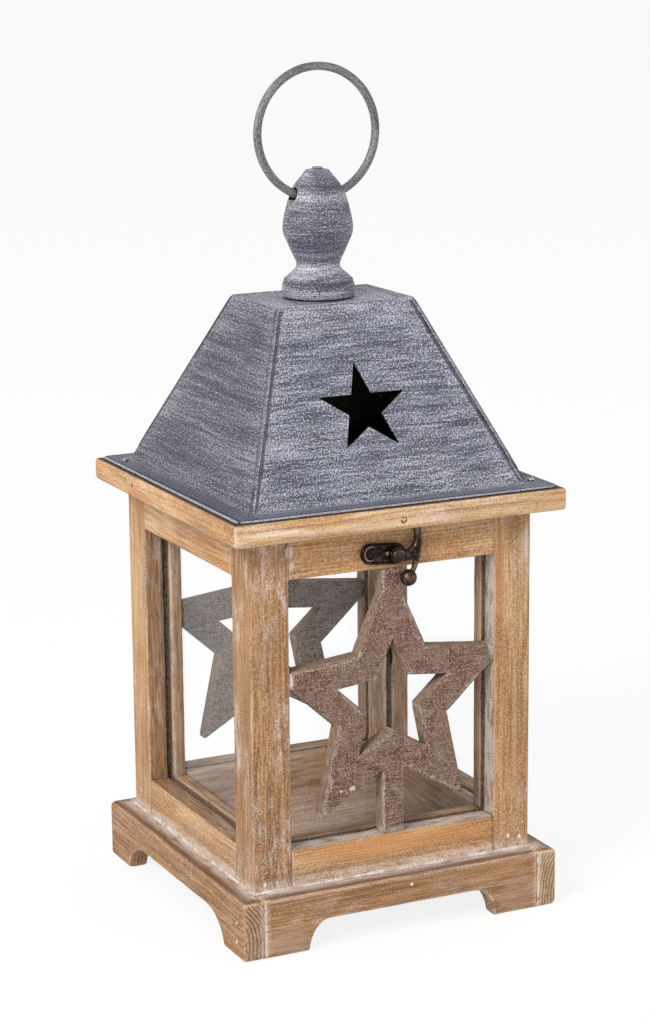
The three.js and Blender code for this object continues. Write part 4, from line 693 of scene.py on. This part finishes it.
def growth(mesh, neighbours):
    """Which way each vertex goes to grow into the pieces that its faces touch."""
    ways = {vertex: Vector() for vertex in mesh.verts}
    for face in mesh.faces:
        spot, normal, *_ = neighbours.find_nearest(face.calc_center_median(), JOINT_REACH)
        if spot and normal.dot(face.normal) < -0.5:
            for vertex in face.verts:
                ways[vertex] += face.normal
    return [way.normalized() * JOINT_GROWTH for way in ways.values()]


def wear(mesh, seed, sink, rub, spread, neighbours=None):
    """Sinks the faces unevenly by up to sink and rubs the arrises down by about rub. Returns the arrises.
    A face that touches a neighbour grows a little into it instead, so that no joint opens."""
    mesh.normal_update()
    arrises = outward_corners(mesh)
    shift = Vector((random.Random(seed).uniform(0, 90), 0, 0))
    grown = growth(mesh, neighbours) if neighbours else [Vector()] * len(arrises)
    moves = []
    for vertex, arris, into in zip(mesh.verts, arrises, grown):
        swell = 0.5 + 0.5 * noise.noise(vertex.co / spread + shift)
        dent = 0.6 + 0.8 * noise.noise(vertex.co / (0.35 * spread) - shift)
        sunk = -vertex.normal * max(0.0, sink * swell + rub * arris * dent)
        moves.append(into if into.length > 0 else sunk)
    low, high = cad_box
    for vertex, move in zip(mesh.verts, moves):
        vertex.co = [min(max(*pair), top) for *pair, top in zip(vertex.co + move, low, high)]
    mesh.normal_update()
    return arrises


def add_object(name, mesh, finish, **values):
    """Makes an object of a mesh, and takes each named list of values as an attribute of it."""
    data = bpy.data.meshes.new(name)
    mesh.to_mesh(data)
    mesh.free()
    data.polygons.foreach_set("use_smooth", [True] * len(data.polygons))
    data.set_sharp_from_angle(angle=SMOOTH_ANGLE)
    for label, numbers in values.items():
        kind, domain = KINDS.get(label, ("FLOAT", "POINT"))
        attribute = data.attributes.new(label, kind, domain)
        if kind == "FLOAT":
            attribute.data.foreach_set("value", numbers)
        else:
            attribute.data.foreach_set("vector", [part for number in numbers for part in number])
    data.materials.append(finishes[finish])
    piece = link(name, data)
    piece.modifiers.new("even_normals", "WEIGHTED_NORMAL").keep_sharp = True
    return piece


def carry(piece, node):
    """Lets a piece ride with a node's body."""
    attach(piece, node_body[node])


def place_piece(name, mesh, node, **values):
    """Makes a mesh the look of a node."""
    piece = add_object(name, mesh, node_slot[node], **values)
    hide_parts(node)
    carry(piece, node)


def put(mesh, place, turn=Matrix.Identity(4)):
    """Brings a mesh made in millimetres to its size, turns it and moves it to its place."""
    bmesh.ops.transform(mesh, matrix=Matrix.Translation(place) @ turn @ Matrix.Scale(MM, 4), verts=mesh.verts)
    mesh.normal_update()


def loft(mesh, rows):
    """Joins rows of vertices, each round one section, into a closed bar."""
    bar = []
    for first, second in zip(rows, rows[1:]):
        for k in range(len(first)):
            after = (k + 1) % len(first)
            bar.append(mesh.faces.new((first[k], first[after], second[after], second[k])))
    bar += [mesh.faces.new(rows[0]), mesh.faces.new(rows[-1])]
    bmesh.ops.recalc_face_normals(mesh, faces=bar)


def turned(profile, sides):
    """A mesh turned round the Z axis from (radius, height) pairs, from the bottom to the top."""
    mesh = bmesh.new()
    rings = []
    for radius, height in profile:
        if radius == 0:
            rings.append([mesh.verts.new((0, 0, height))])
            continue
        angles = [math.tau * step / sides for step in range(sides)]
        rings.append([mesh.verts.new((radius * math.cos(a), radius * math.sin(a), height)) for a in angles])
    for low, high in zip(rings, rings[1:]):
        for step in range(sides):
            corners = [low[step % len(low)], low[(step + 1) % len(low)],
                       high[(step + 1) % len(high)], high[step % len(high)]]
            whole = list(dict.fromkeys(corners))
            if len(whole) > 2:
                mesh.faces.new(whole)
    return mesh


def spline(points, count):
    """Points on a smooth curve through the given ones."""
    last = len(points) - 1
    found = []
    for step in range(count + 1):
        at = step / count * last
        start = min(int(at), last - 1)
        part = at - start
        before, here, there, after = (points[min(max(start + k, 0), last)] for k in (-1, 0, 1, 2))
        found.append(tuple(
            0.5 * (2 * b + (c - a) * part + (2 * a - 5 * b + 4 * c - d) * part ** 2
                   + (3 * b - a - 3 * c + d) * part ** 3)
            for a, b, c, d in zip(before, here, there, after)))
    return found


# Wooden pieces

JOINT_REACH = 0.4 * MM  # faces this close to a neighbour touch it
JOINT_GROWTH = 0.1 * MM  # and grow this far into it
# The radius along the outer arrises
ROUNDING = {"base_rail": 2.3 * MM, "lid_rail": 1.7 * MM, "post": 1.3 * MM}
ROUNDING_CUTS = (1.0, 0.732, 0.423)  # shares of the radius, for steps of 15 degrees
ALONG = {"x": (1, 2, 0), "y": (0, 2, 1), "z": (0, 1, 2)}  # the axes across the grain, and along it
PITH = {"base_rail_left": (-27, -8), "base_rail_right": (34, -10)}  # in millimetres, from the middle
# How thick the lime is, and how dark the wood, with 0.6 and 0 for the rest
HAZE_AND_DEPTH = {
    "post_front_left": (1.0, 0.84), "post_front_right": (0.45, 0.3), "lid_rail_front": (0.85, -0.35),
    "lid_rail_left": (0.6, 0.05), "top_rail_front": (0.15, 0.05), "top_rail_left": (0.6, 0.1),
    "base_rail_front": (0.5, 0.95), "base_rail_left": (0.34, 0.95), "base_rail_right": (0.4, 0.3),
    "bottom_rail_front": (0.05, 0.15), "bottom_rail_left": (0.5, 0.1), "post_back_left": (0.7, 0.2),
}
INSIDE = Vector((0, 0, 99.4 * MM))  # the middle of the space behind the panes


def tree_of(nodes):
    """A search tree over the faces of some nodes."""
    corners, faces = [], []
    for node in sorted(nodes):
        data = frame["nodes"][node].data
        start = len(corners)
        corners += [vertex.co for vertex in data.vertices]
        faces += [[start + corner for corner in face.vertices] for face in data.polygons]
    return BVHTree.FromPolygons(corners, faces)


def round_off(mesh, node):
    """Rounds a piece off along the outer arrises of the base, the lid or the frame. Returns how far round each
    vertex went, from 0 to 1."""
    found = [stem for stem in ROUNDING if node.startswith(stem)]
    if not found:
        return [0.0] * len(mesh.verts)
    radius = ROUNDING[found[0]]
    boxes = [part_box(other) for other in frame["nodes"] if other.startswith(found[0])]
    low = Vector([min(box[0][axis] for box in boxes) for axis in range(3)])
    high = Vector([max(box[1][axis] for box in boxes) for axis in range(3)])
    if found[0] == "post":
        low.z -= radius
        high.z += radius
    for axis in range(3):
        insets = [radius * share for share in ROUNDING_CUTS]
        cut_at(mesh, axis, [place for inset in insets for place in (low[axis] + inset, high[axis] - inset)])
    turns = []
    for vertex in mesh.verts:
        core = Vector([min(max(at, start + radius), end - radius)
                       for at, start, end in zip(vertex.co, low, high)])
        away = vertex.co - core
        turns.append(min(1.0, max(0.0, away.length / radius - 1) / 0.3))
        if away.length > radius:
            vertex.co = core + away.normalized() * radius
    return turns


def wood_values(node, mesh, along):
    """The attributes of a piece of wood. The grain's first two parts count from the pith, which lies beside the
    piece, and the third runs along it."""
    first, second, length = ALONG[along]
    low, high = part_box(node)
    middle = (low + high) / 2
    dice = random.Random(node)
    turn = dice.uniform(0, math.tau)
    reach = dice.uniform(22, 42)
    pith = PITH.get(node, (reach * math.cos(turn), reach * math.sin(turn)))
    shift = dice.uniform(0, 900)
    grain = []
    for vertex in mesh.verts:
        at = (vertex.co - middle) / MM
        grain.append((at[first] - pith[0], at[second] - pith[1], at[length] + shift))
    haze, deep = HAZE_AND_DEPTH.get(node, (0.6, 0.0))
    reveal, end = [], []
    for face in mesh.faces:
        normal, centre = face.normal, face.calc_center_median()
        if node.startswith("star"):
            reveal.append(float(abs(normal.y) < 0.5))
            end.append(float(normal.y * centre.y < -0.5 * abs(centre.y)))
            continue
        end.append(float(abs(normal[length]) > 0.85))
        if node.startswith("base_rail"):
            reveal.append(0.8 * float(normal.z > 0.9))
        else:
            inward = normal.dot((INSIDE - centre).normalized()) > 0.25
            reveal.append(float(inward and node.startswith(("post", "bottom_rail", "top_rail"))))
    count = len(mesh.verts)
    return {"grain": grain, "reveal": reveal, "end": end, "haze": [haze] * count, "deep": [deep] * count}


def make_wood():
    along = {"floor_board": "x"}
    for side, axis in (("left", "y"), ("right", "y"), ("front", "x"), ("back", "x")):
        for piece in ("base_rail", "lid_rail", "bottom_rail", "top_rail"):
            along[f"{piece}_{side}"] = axis
        if axis == "x":
            along[f"post_{side}_left"] = along[f"post_{side}_right"] = along[f"star_{side}"] = "z"
    for node, axis in along.items():
        mesh = copy_of(node)
        slice_up(mesh, 3.4 * MM)
        turns = round_off(mesh, node)
        beside = {other for other in along if other != node and node_body[other] == node_body[node]}
        arrises = wear(mesh, node, 0.1 * MM, 0.3 * MM, 18 * MM, tree_of(beside))
        edge = [max(pair) for pair in zip(arrises, turns)]
        place_piece(f"{node}_limed", mesh, node, edge=edge, **wood_values(node, mesh, axis))


def make_beads():
    """The beads of filler in the corner between the frame and the top of the base, one along each side."""
    steps = 150
    for turn, side in enumerate(("front", "right", "back", "left")):
        mesh = bmesh.new()
        rows = []
        for step in range(steps + 1):
            run = -FRAME_FACE + 2 * FRAME_FACE * step / steps
            swell = lump(run / 5, turn * 9, 0) + 0.5 * lump(run / 1.3, turn * 9, 4)
            wide = max(0.55, 0.95 + 0.5 * swell)
            tall = max(0.5, 0.8 + 0.4 * swell)
            if step in (0, steps):
                run *= 1 + (wide - 0.2) / FRAME_FACE
            section = [(-0.12, 0.02), (wide, 0.02), (0.5 * wide, 0.3 * tall), (0.2 * wide, 0.62 * tall),
                       (-0.12, tall)]
            rows.append([mesh.verts.new((run, -FRAME_FACE - out, BASE_TOP + up)) for out, up in section])
        loft(mesh, rows)
        put(mesh, (0, 0, 0), Matrix.Rotation(turn * math.pi / 2, 4, "Z"))
        carry(add_object(f"corner_bead_{side}", mesh, "lime_putty"), "base_rail_front")


# Roof

ROOF_FOOT = Vector((64, 64, 184.6)) * MM
ROOF_TOP = Vector((32, 22, 261.05)) * MM
FLANGE_TOP = 186.0  # in millimetres
LIP = 1.3 * MM  # the rim round the flat top
SUNK = 0.4 * MM  # how far the flat top lies below that rim
SIDE_STROKES = 0.5  # the side panels' strokes are counted at this rate, so they are twice as long
STAR_CUT = Vector((24 * MM, 0.1, 0.9))  # the cut-outs' half width, and their foot and top as shares of the roof
SEAM_WIDTH = 1.5 * MM
SEAM_RISE = 0.4 * MM
SEAM_START = 0.09  # as a share of the hip, from its foot
SEAM_EDGE = 0.82  # how bright the silver on the seams is


def share_up(vertex):
    """How far up the roof's slopes a vertex is, from 0 to 1."""
    return (vertex.co.z - ROOF_FOOT.z) / (ROOF_TOP.z - ROOF_FOOT.z)


def add_seam(mesh, side, end):
    """The folded strip along a hip, where a side panel laps over the front or the back panel."""
    foot = Vector((side * ROOF_FOOT.x, end * ROOF_FOOT.y, ROOF_FOOT.z))
    top = Vector((side * ROOF_TOP.x, end * ROOF_TOP.y, ROOF_TOP.z))
    hip = (top - foot).normalized()
    out = hip.cross(Vector((-1, 0, 0))).normalized()
    if out.y * end < 0:
        out.negate()
    across = out.cross(hip).normalized()
    if across.x * side > 0:
        across.negate()
    steps = 46
    rows = []
    for step in range(steps + 1):
        part = SEAM_START + 0.9 * step / steps
        uneven = 1 + 0.12 * lump(part * 9, side, end)
        width = SEAM_WIDTH * min(1.0, 0.35 + 9 * (part - SEAM_START)) * uneven
        rise = SEAM_RISE * min(1.0, 12 * (part - 0.085), 20 * (1.0 - part))
        base = foot.lerp(top, part)
        section = [(0, -0.3 * MM), (0, 0.8 * rise), (0.3, rise), (0.75, rise), (1, 0.7 * rise), (1, -0.3 * MM)]
        rows.append([mesh.verts.new(base + across * (width * run) + out * height) for run, height in section])
    loft(mesh, rows)


def sheet_values(mesh):
    """The roof's attributes: brush strokes run level round it, paler towards its hips, foot and top, with less
    silver on the side panels away from the hips as painted shade, and the inside is black."""
    stroke, inner, pale = [], [], []
    for face in mesh.faces:
        normal, centre = face.normal, face.calc_center_median()
        level = abs(normal.z) > 0.95
        sideways = abs(centre.x) > abs(centre.y) if level else abs(normal.x) > abs(normal.y)
        panel = 40 * (1 + sideways) + 9 * (centre.x + centre.y > 0) + 5 * level
        for loop in face.loops:
            at = loop.vert.co / MM
            along = SIDE_STROKES * at.y if sideways else at.x
            stroke.append((along, (at.x if sideways else at.y) if level else at.z, panel))
        outward = normal.z > 0.5 or (normal.z > -0.5 and normal.x * centre.x + normal.y * centre.y > 0)
        inner.append(float(not outward))
    for vertex in mesh.verts:
        up = share_up(vertex)
        half_x = ROOF_FOOT.x + (ROOF_TOP.x - ROOF_FOOT.x) * up
        half_y = ROOF_FOOT.y + (ROOF_TOP.y - ROOF_FOOT.y) * up
        from_hip = abs((half_x - abs(vertex.co.x)) + (half_y - abs(vertex.co.y)))
        near_hip = max(0.0, 1 - from_hip / (14 * MM))
        near_end = max(0.0, 1 - min(up, 1 - up) * 7)
        on_side = half_y - abs(vertex.co.y) > 2 * MM
        # Painted shade: the side panels get less silver away from the hips
        shade = -0.1 * (1 - near_hip) if on_side else 0.0
        pale.append(max(0.6 * near_hip, 0.5 * near_end) + shade)
    return {"stroke": stroke, "reveal": inner, "pale": pale}


def make_roof():
    mesh = copy_of("roof")
    slice_up(mesh, 5 * MM)
    for axis, half in ((0, ROOF_TOP.x), (1, ROOF_TOP.y)):
        insets = (half - LIP, half - LIP - SUNK)
        cut_at(mesh, axis, [sign * place for sign in (-1, 1) for place in insets])
    edge = wear(mesh, "roof", 0.25 * MM, 0.05 * MM, 34 * MM)
    for vertex in mesh.verts:
        up = share_up(vertex)
        if up < 0.03 or (abs(vertex.co.x) < STAR_CUT.x and STAR_CUT.y < up < STAR_CUT.z):
            edge[vertex.index] = 0.0
    for vertex in mesh.verts:
        x, y, z = vertex.co
        within = abs(x) < ROOF_TOP.x - LIP - SUNK / 2 and abs(y) < ROOF_TOP.y - LIP - SUNK / 2
        if within and z > ROOF_TOP.z - 1.2 * MM:
            vertex.co.z -= SUNK
    for side in (-1, 1):
        for end in (-1, 1):
            add_seam(mesh, side, end)
    mesh.normal_update()
    edge += [SEAM_EDGE] * (len(mesh.verts) - len(edge))
    place_piece("roof_brushed", mesh, "roof", edge=edge, **sheet_values(mesh))


# Finial and ring

# In millimetres. The profile is (radius, height), the grooves are (height, width, depth), and the pale bands
# are (height, width, how pale), from the finial's foot.
FINIAL_FOOT = 261.2
FINIAL_PLACE = -1.8  # along X
FINIAL_CURVE = [(15.19, 0), (15.5, 3.6), (14.57, 7.2), (10.53, 10.92), (9.4, 14), (12.425, 21.1), (14.9, 28.2),
                (13.26, 38.12), (10.58, 45.56), (4.9, 53)]
FINIAL_NUB = [(2.3, 53.3), (2.3, 53.95), (2.0, 54.2), (0, 54.2)]
FINIAL_GROOVES = [(6.1, 0.5, 0.35), (8.3, 0.35, 0.25), (41.5, 0.4, 0.2), (50.6, 0.4, 0.2)]
BORE_HEIGHT = 303.85
BORE_RADIUS = 3.5
PALE_BANDS = [(1.8, 2.4, 0.8), (6.5, 1.3, -0.8), (11.5, 3.2, 1.0), (22, 4, -0.4), (32, 6, -0.3), (42, 1.5, 0.7),
              (47, 2.4, -0.5), (51.5, 1.6, 0.5)]
RING_RADIUS = 27.3
RING_WIRE = 1.8
RING_MIDDLE = 329.71


def bump_at(height, middle, width):
    """A smooth hump, 1 at its middle."""
    return math.exp(-((height - middle) / width) ** 2)


def make_finial():
    profile = [(0, 0)]
    for radius, height in spline(FINIAL_CURVE, 150):
        for middle, width, depth in FINIAL_GROOVES:
            radius -= depth * bump_at(height, middle, width)
        radius -= 0.07 * (0.5 + 0.5 * lump(height * 1.7, 0.3, 0))
        profile.append((radius, height))
    mesh = turned(profile + FINIAL_NUB, 72)
    put(mesh, Vector((FINIAL_PLACE, 0, FINIAL_FOOT)) * MM)
    mesh = bored(mesh)
    mesh.normal_update()
    edge = wear(mesh, "finial", 0.06 * MM, 0.0, 6 * MM)
    stroke, pale, inner = [], [], []
    for face in mesh.faces:
        centre = face.calc_center_median() - Vector((FINIAL_PLACE * MM, 0, 0))
        middle = math.atan2(centre.y, centre.x)
        for loop in face.loops:
            at = loop.vert.co / MM - Vector((FINIAL_PLACE, 0, FINIAL_FOOT))
            angle = math.atan2(at.y, at.x)
            angle += math.tau * round((middle - angle) / math.tau)
            stroke.append((14 * angle, at.z, 200))
        inner.append(float(face.normal.dot(Vector((centre.x, centre.y, 0))) < -0.002))
    for vertex in mesh.verts:
        height = vertex.co.z / MM - FINIAL_FOOT
        angle = math.atan2(vertex.co.y, vertex.co.x - FINIAL_PLACE * MM)
        bands = sum(share * bump_at(height, middle, width) for middle, width, share in PALE_BANDS)
        # Painted sheen: paler at the sides seen from the camera, darker on the part facing it
        sides = abs(math.cos(angle - VIEW_TURN)) ** 2 - 0.5
        pale.append(bands + sides * (0.3 if 24 < height < 52 else 0.15))
    place_piece("finial_brushed", mesh, "finial", edge=edge, stroke=stroke, reveal=inner, pale=pale)


def bored(mesh):
    """The finial with the ring's bore cut through along X."""
    drill = turned([(0, -30), (BORE_RADIUS, -30), (BORE_RADIUS, 30), (0, 30)], 40)
    put(drill, Vector((FINIAL_PLACE, 0, BORE_HEIGHT)) * MM, Matrix.Rotation(math.pi / 2, 4, "Y"))
    objects = []
    for name, shape in (("blank", mesh), ("drill", drill)):
        bmesh.ops.recalc_face_normals(shape, faces=shape.faces)
        data = bpy.data.meshes.new(name)
        shape.to_mesh(data)
        shape.free()
        objects.append(link(name, data))
    cut = objects[0].modifiers.new("bore", "BOOLEAN")
    cut.operation = "DIFFERENCE"
    cut.solver = "EXACT"
    cut.object = objects[1]
    result = bmesh.new()
    result.from_mesh(objects[0].evaluated_get(bpy.context.evaluated_depsgraph_get()).to_mesh())
    for thing in objects:
        bpy.data.objects.remove(thing)
    return result


def make_ring():
    steps, sides = 180, 20
    length = math.tau * RING_RADIUS / steps
    girth = math.tau * RING_WIRE / sides
    mesh = bmesh.new()
    rows, stroke, pale = [], [], []
    for step in range(steps):
        angle = math.tau * step / steps
        out = Vector((math.cos(angle), 0, math.sin(angle)))
        rows.append([])
        for side in range(sides):
            turn = math.tau * side / sides
            wire = RING_WIRE * (0.975 + 0.025 * lump(6 * out.x, 6 * out.z, turn))
            at = Vector((FINIAL_PLACE, 0, RING_MIDDLE)) + out * (RING_RADIUS + wire * math.cos(turn))
            at.y = wire * math.sin(turn)
            rows[-1].append(mesh.verts.new(at * MM))
            pale.append(0.5 + 0.5 * lump(2 * out.x, 2 * out.z, 7))
    for step in range(steps):
        for side in range(sides):
            corners = ((step, side), (step + 1, side), (step + 1, side + 1), (step, side + 1))
            mesh.faces.new([rows[s % steps][k % sides] for s, k in corners])
            stroke += [(length * s, girth * k, 300) for s, k in corners]
    bmesh.ops.recalc_face_normals(mesh, faces=mesh.faces)
    place_piece("ring_brushed", mesh, "ring_handle", stroke=stroke, pale=pale)


# Latch, screws and hinges

# Which way each faces, its head's radius and height, its shank's radius, and its recess
SCREWS = {
    "latch_screw": ("-y", 2.3, 0.7, 1.1, 0.5),
    "latch_rivet": ("-y", 3.0, 1.5, 1.4, 0),
    "keeper_pin": ("-y", 1.3, 0.9, 0.9, 0),
    "light_screw_left": ("+z", 2.3, 0.7, 1.1, 0.5),
    "light_screw_right": ("+z", 2.3, 0.7, 1.1, 0.5),
    "roof_screw_left": ("+z", 1.6, 0.9, 0.8, 0.4),
    "roof_screw_right": ("+z", 1.6, 0.9, 0.8, 0.4),
}
RUBBED = {"latch_rivet": 0.46, "keeper_pin": 0.8}  # the least wear, all over the piece
LATCH_BEAD = Vector((-3.6, -67.05, 163.5))
HOOK_BALL = (8.2, 3.55, 3.7)  # the ball's middle from the hook's low corner, and its reach
HOOK_ROUNDING = 1.2 * MM
HINGE_PIECES = ("hinge_frame_leaf", "hinge_lid_leaf", "hinge_pin", "hinge_frame_screw", "hinge_lid_screw")
UPRIGHT = {"-y": Matrix.Rotation(math.pi / 2, 4, "X"), "+z": Matrix.Identity(4)}  # turns a head from up


def make_screw(node):
    """A domed head, with a cross in it where recess is its share of the head's height, on a plain shank."""
    facing, head, height, shank, recess = SCREWS[node]
    low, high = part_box(node)
    middle = (low + high) / 2
    if facing == "-y":
        length = (high.y - low.y) / MM - height
        top = Vector((middle.x, low.y + height * MM, middle.z))
    else:
        length = (high.z - low.z) / MM - height
        top = Vector((middle.x, middle.y, high.z - height * MM))
    angles = [math.pi / 2 * step / 22 for step in range(22, 0, -1)]
    dome = [(head * math.sin(angle), height * math.cos(angle)) for angle in angles]
    mesh = turned([(0, -length), (shank * 0.8, -length), (shank, -length + 0.3), (shank, -0.05),
                   (head * 0.97, 0), *dome, (0, height)], 48)
    for vertex in mesh.verts:
        across = sorted((abs(vertex.co.x), abs(vertex.co.y)))
        if vertex.co.z > 0 and across[0] < 0.17 * head and across[1] < 0.6 * head:
            vertex.co.z -= recess * height
    put(mesh, top, UPRIGHT[facing] @ Matrix.Rotation(0.4, 4, "Z"))
    edge = [max(RUBBED.get(node, 0.0), arris) for arris in outward_corners(mesh)]
    place_piece(f"{node}_turned", mesh, node, edge=edge)


def make_latch_bead():
    """The small bright bead on the latch's plate, beside the rivet."""
    mesh = turned([(0, -0.3), (0.95, -0.3), (0.95, 0), (0.85, 0.13), (0.6, 0.22), (0.3, 0.27), (0, 0.28)], 28)
    put(mesh, LATCH_BEAD * MM, UPRIGHT["-y"])
    carry(add_object("latch_bead", mesh, "dark_bronze", edge=[0.9] * len(mesh.verts)), "latch_plate")


def eased(node, width):
    """A node's mesh with its arrises rounded."""
    mesh = copy_of(node)
    sharp = [edge for edge in mesh.edges
             if len(edge.link_faces) == 2 and edge.calc_face_angle(0.0) > math.radians(35)]
    bmesh.ops.bevel(mesh, geom=sharp, offset=width, offset_type="OFFSET", segments=2, profile=0.5,
                    affect="EDGES", clamp_overlap=True)
    mesh.normal_update()
    return mesh




def make_hook():
    """The latch's hook, its front rounded over towards its outline."""
    mesh = copy_of("latch_hook")
    slice_up(mesh, 0.5 * MM)
    low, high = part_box("latch_hook")
    outline = [(edge.verts[0].co.xz, edge.verts[1].co.xz) for edge in mesh.edges
               if all(abs(v.co.y - high.y) < WELD for v in edge.verts)
               and sum(face.normal.y > 0.9 for face in edge.link_faces) == 1]
    ball = Vector((low.x + HOOK_BALL[0] * MM, low.z + HOOK_BALL[1] * MM))
    in_ball = [(vertex.co.xz - ball).length < HOOK_BALL[2] * MM for vertex in mesh.verts]
    for vertex, within in zip(mesh.verts, in_ball):
        depth = high.y - vertex.co.y
        if depth < 0.6 * MM or within:
            continue
        nearest = HOOK_ROUNDING
        for start, end in outline:
            along = end - start
            part = max(0.0, min(1.0, (vertex.co.xz - start).dot(along) / max(along.length_squared, 1e-12)))
            nearest = min(nearest, (start + along * part - vertex.co.xz).length)
        inset = nearest / HOOK_ROUNDING
        vertex.co.y += 0.4 * depth * (1 - math.sqrt(max(0.0, inset * (2 - inset))))
    mesh.normal_update()
    # Arrises lighter, as wear and as painted highlight, and the ball golden
    edge = [max(0.8 * arris, 0.52 * within) for arris, within in zip(outward_corners(mesh), in_ball)]
    place_piece("latch_hook_cast", mesh, "latch_hook", edge=edge)


def make_small_parts():
    """Screws, rivet, pin, bead and hook, and the plates and housings with eased arrises."""
    for node in SCREWS:
        make_screw(node)
    make_latch_bead()
    make_hook()
    nodes = ["latch_plate", "finial_screw"]
    for side in ("left", "right"):
        nodes += [f"{piece}_{side}" for piece in HINGE_PIECES]
    for node in nodes + ["light_housing", "battery_door", "switch_knob", "cell_bridge"]:
        mesh = eased(node, (0.2 if node == "latch_plate" else 0.15) * MM)
        place_piece(f"{node}_eased", mesh, node, edge=outward_corners(mesh))


# Battery light under the roof


def make_light():
    """The battery light's board, cells and LED."""
    mesh = eased("circuit_board", 0.1 * MM)
    low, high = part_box("circuit_board")
    centres = [face.calc_center_median() for face in mesh.faces]
    bare = [float(centre.z > low.z + 1.3 * MM or centre.y > -4.4 * MM) for centre in centres]
    place_piece("circuit_board_eased", mesh, "circuit_board", bare=bare)
    for node, turn in (("cell_front", 1), ("cell_back", -1)):
        low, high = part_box(node)
        radius = (high.y - low.y) / 2 / MM
        half = (high.x - low.x) / 2 / MM
        mesh = turned([
            (0, -half), (radius - 0.9, -half), (radius - 0.5, -half + 0.2), (radius, -half + 0.7),
            (radius, half - 1.7), (radius - 0.4, half - 1.15), (radius - 1, half - 1), (1.9, half - 1),
            (1.9, half - 0.2), (1.7, half), (0, half)], 48)
        bare = [float(abs(face.calc_center_median().z) > half - 1.25) for face in mesh.faces]
        put(mesh, (low + high) / 2, Matrix.Rotation(turn * math.pi / 2, 4, "Y"))
        place_piece(f"{node}_turned", mesh, node, bare=bare)
    low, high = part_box("led")
    tall = (high.z - low.z) / MM
    angles = [math.pi / 2 * step / 12 for step in range(1, 13)]
    dome = [(2.5 * math.sin(angle), 2.5 - 2.5 * math.cos(angle)) for angle in angles]
    mesh = turned([(0, 0), *dome, (2.5, tall - 4.5), (3, tall - 4.4), (3, tall), (0, tall)], 48)
    put(mesh, ((low.x + high.x) / 2, (low.y + high.y) / 2, low.z))
    place_piece("led_turned", mesh, "led")


def finish_panes():
    for node, thing in frame["nodes"].items():
        if node_slot[node] == "pane_glass":
            low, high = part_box(node)
            across = "x" if high.x - low.x > high.y - low.y else "y"
            thing.data.materials.clear()
            thing.data.materials.append(finishes[f"pane_glass_{across}"])


add_camera()
add_studio()
finishes = {name: make(name, *rest) for name, (make, *rest) in FINISHES.items()}
finish_panes()
make_wood()
make_beads()
make_roof()
make_finial()
make_ring()
make_small_parts()
make_light()
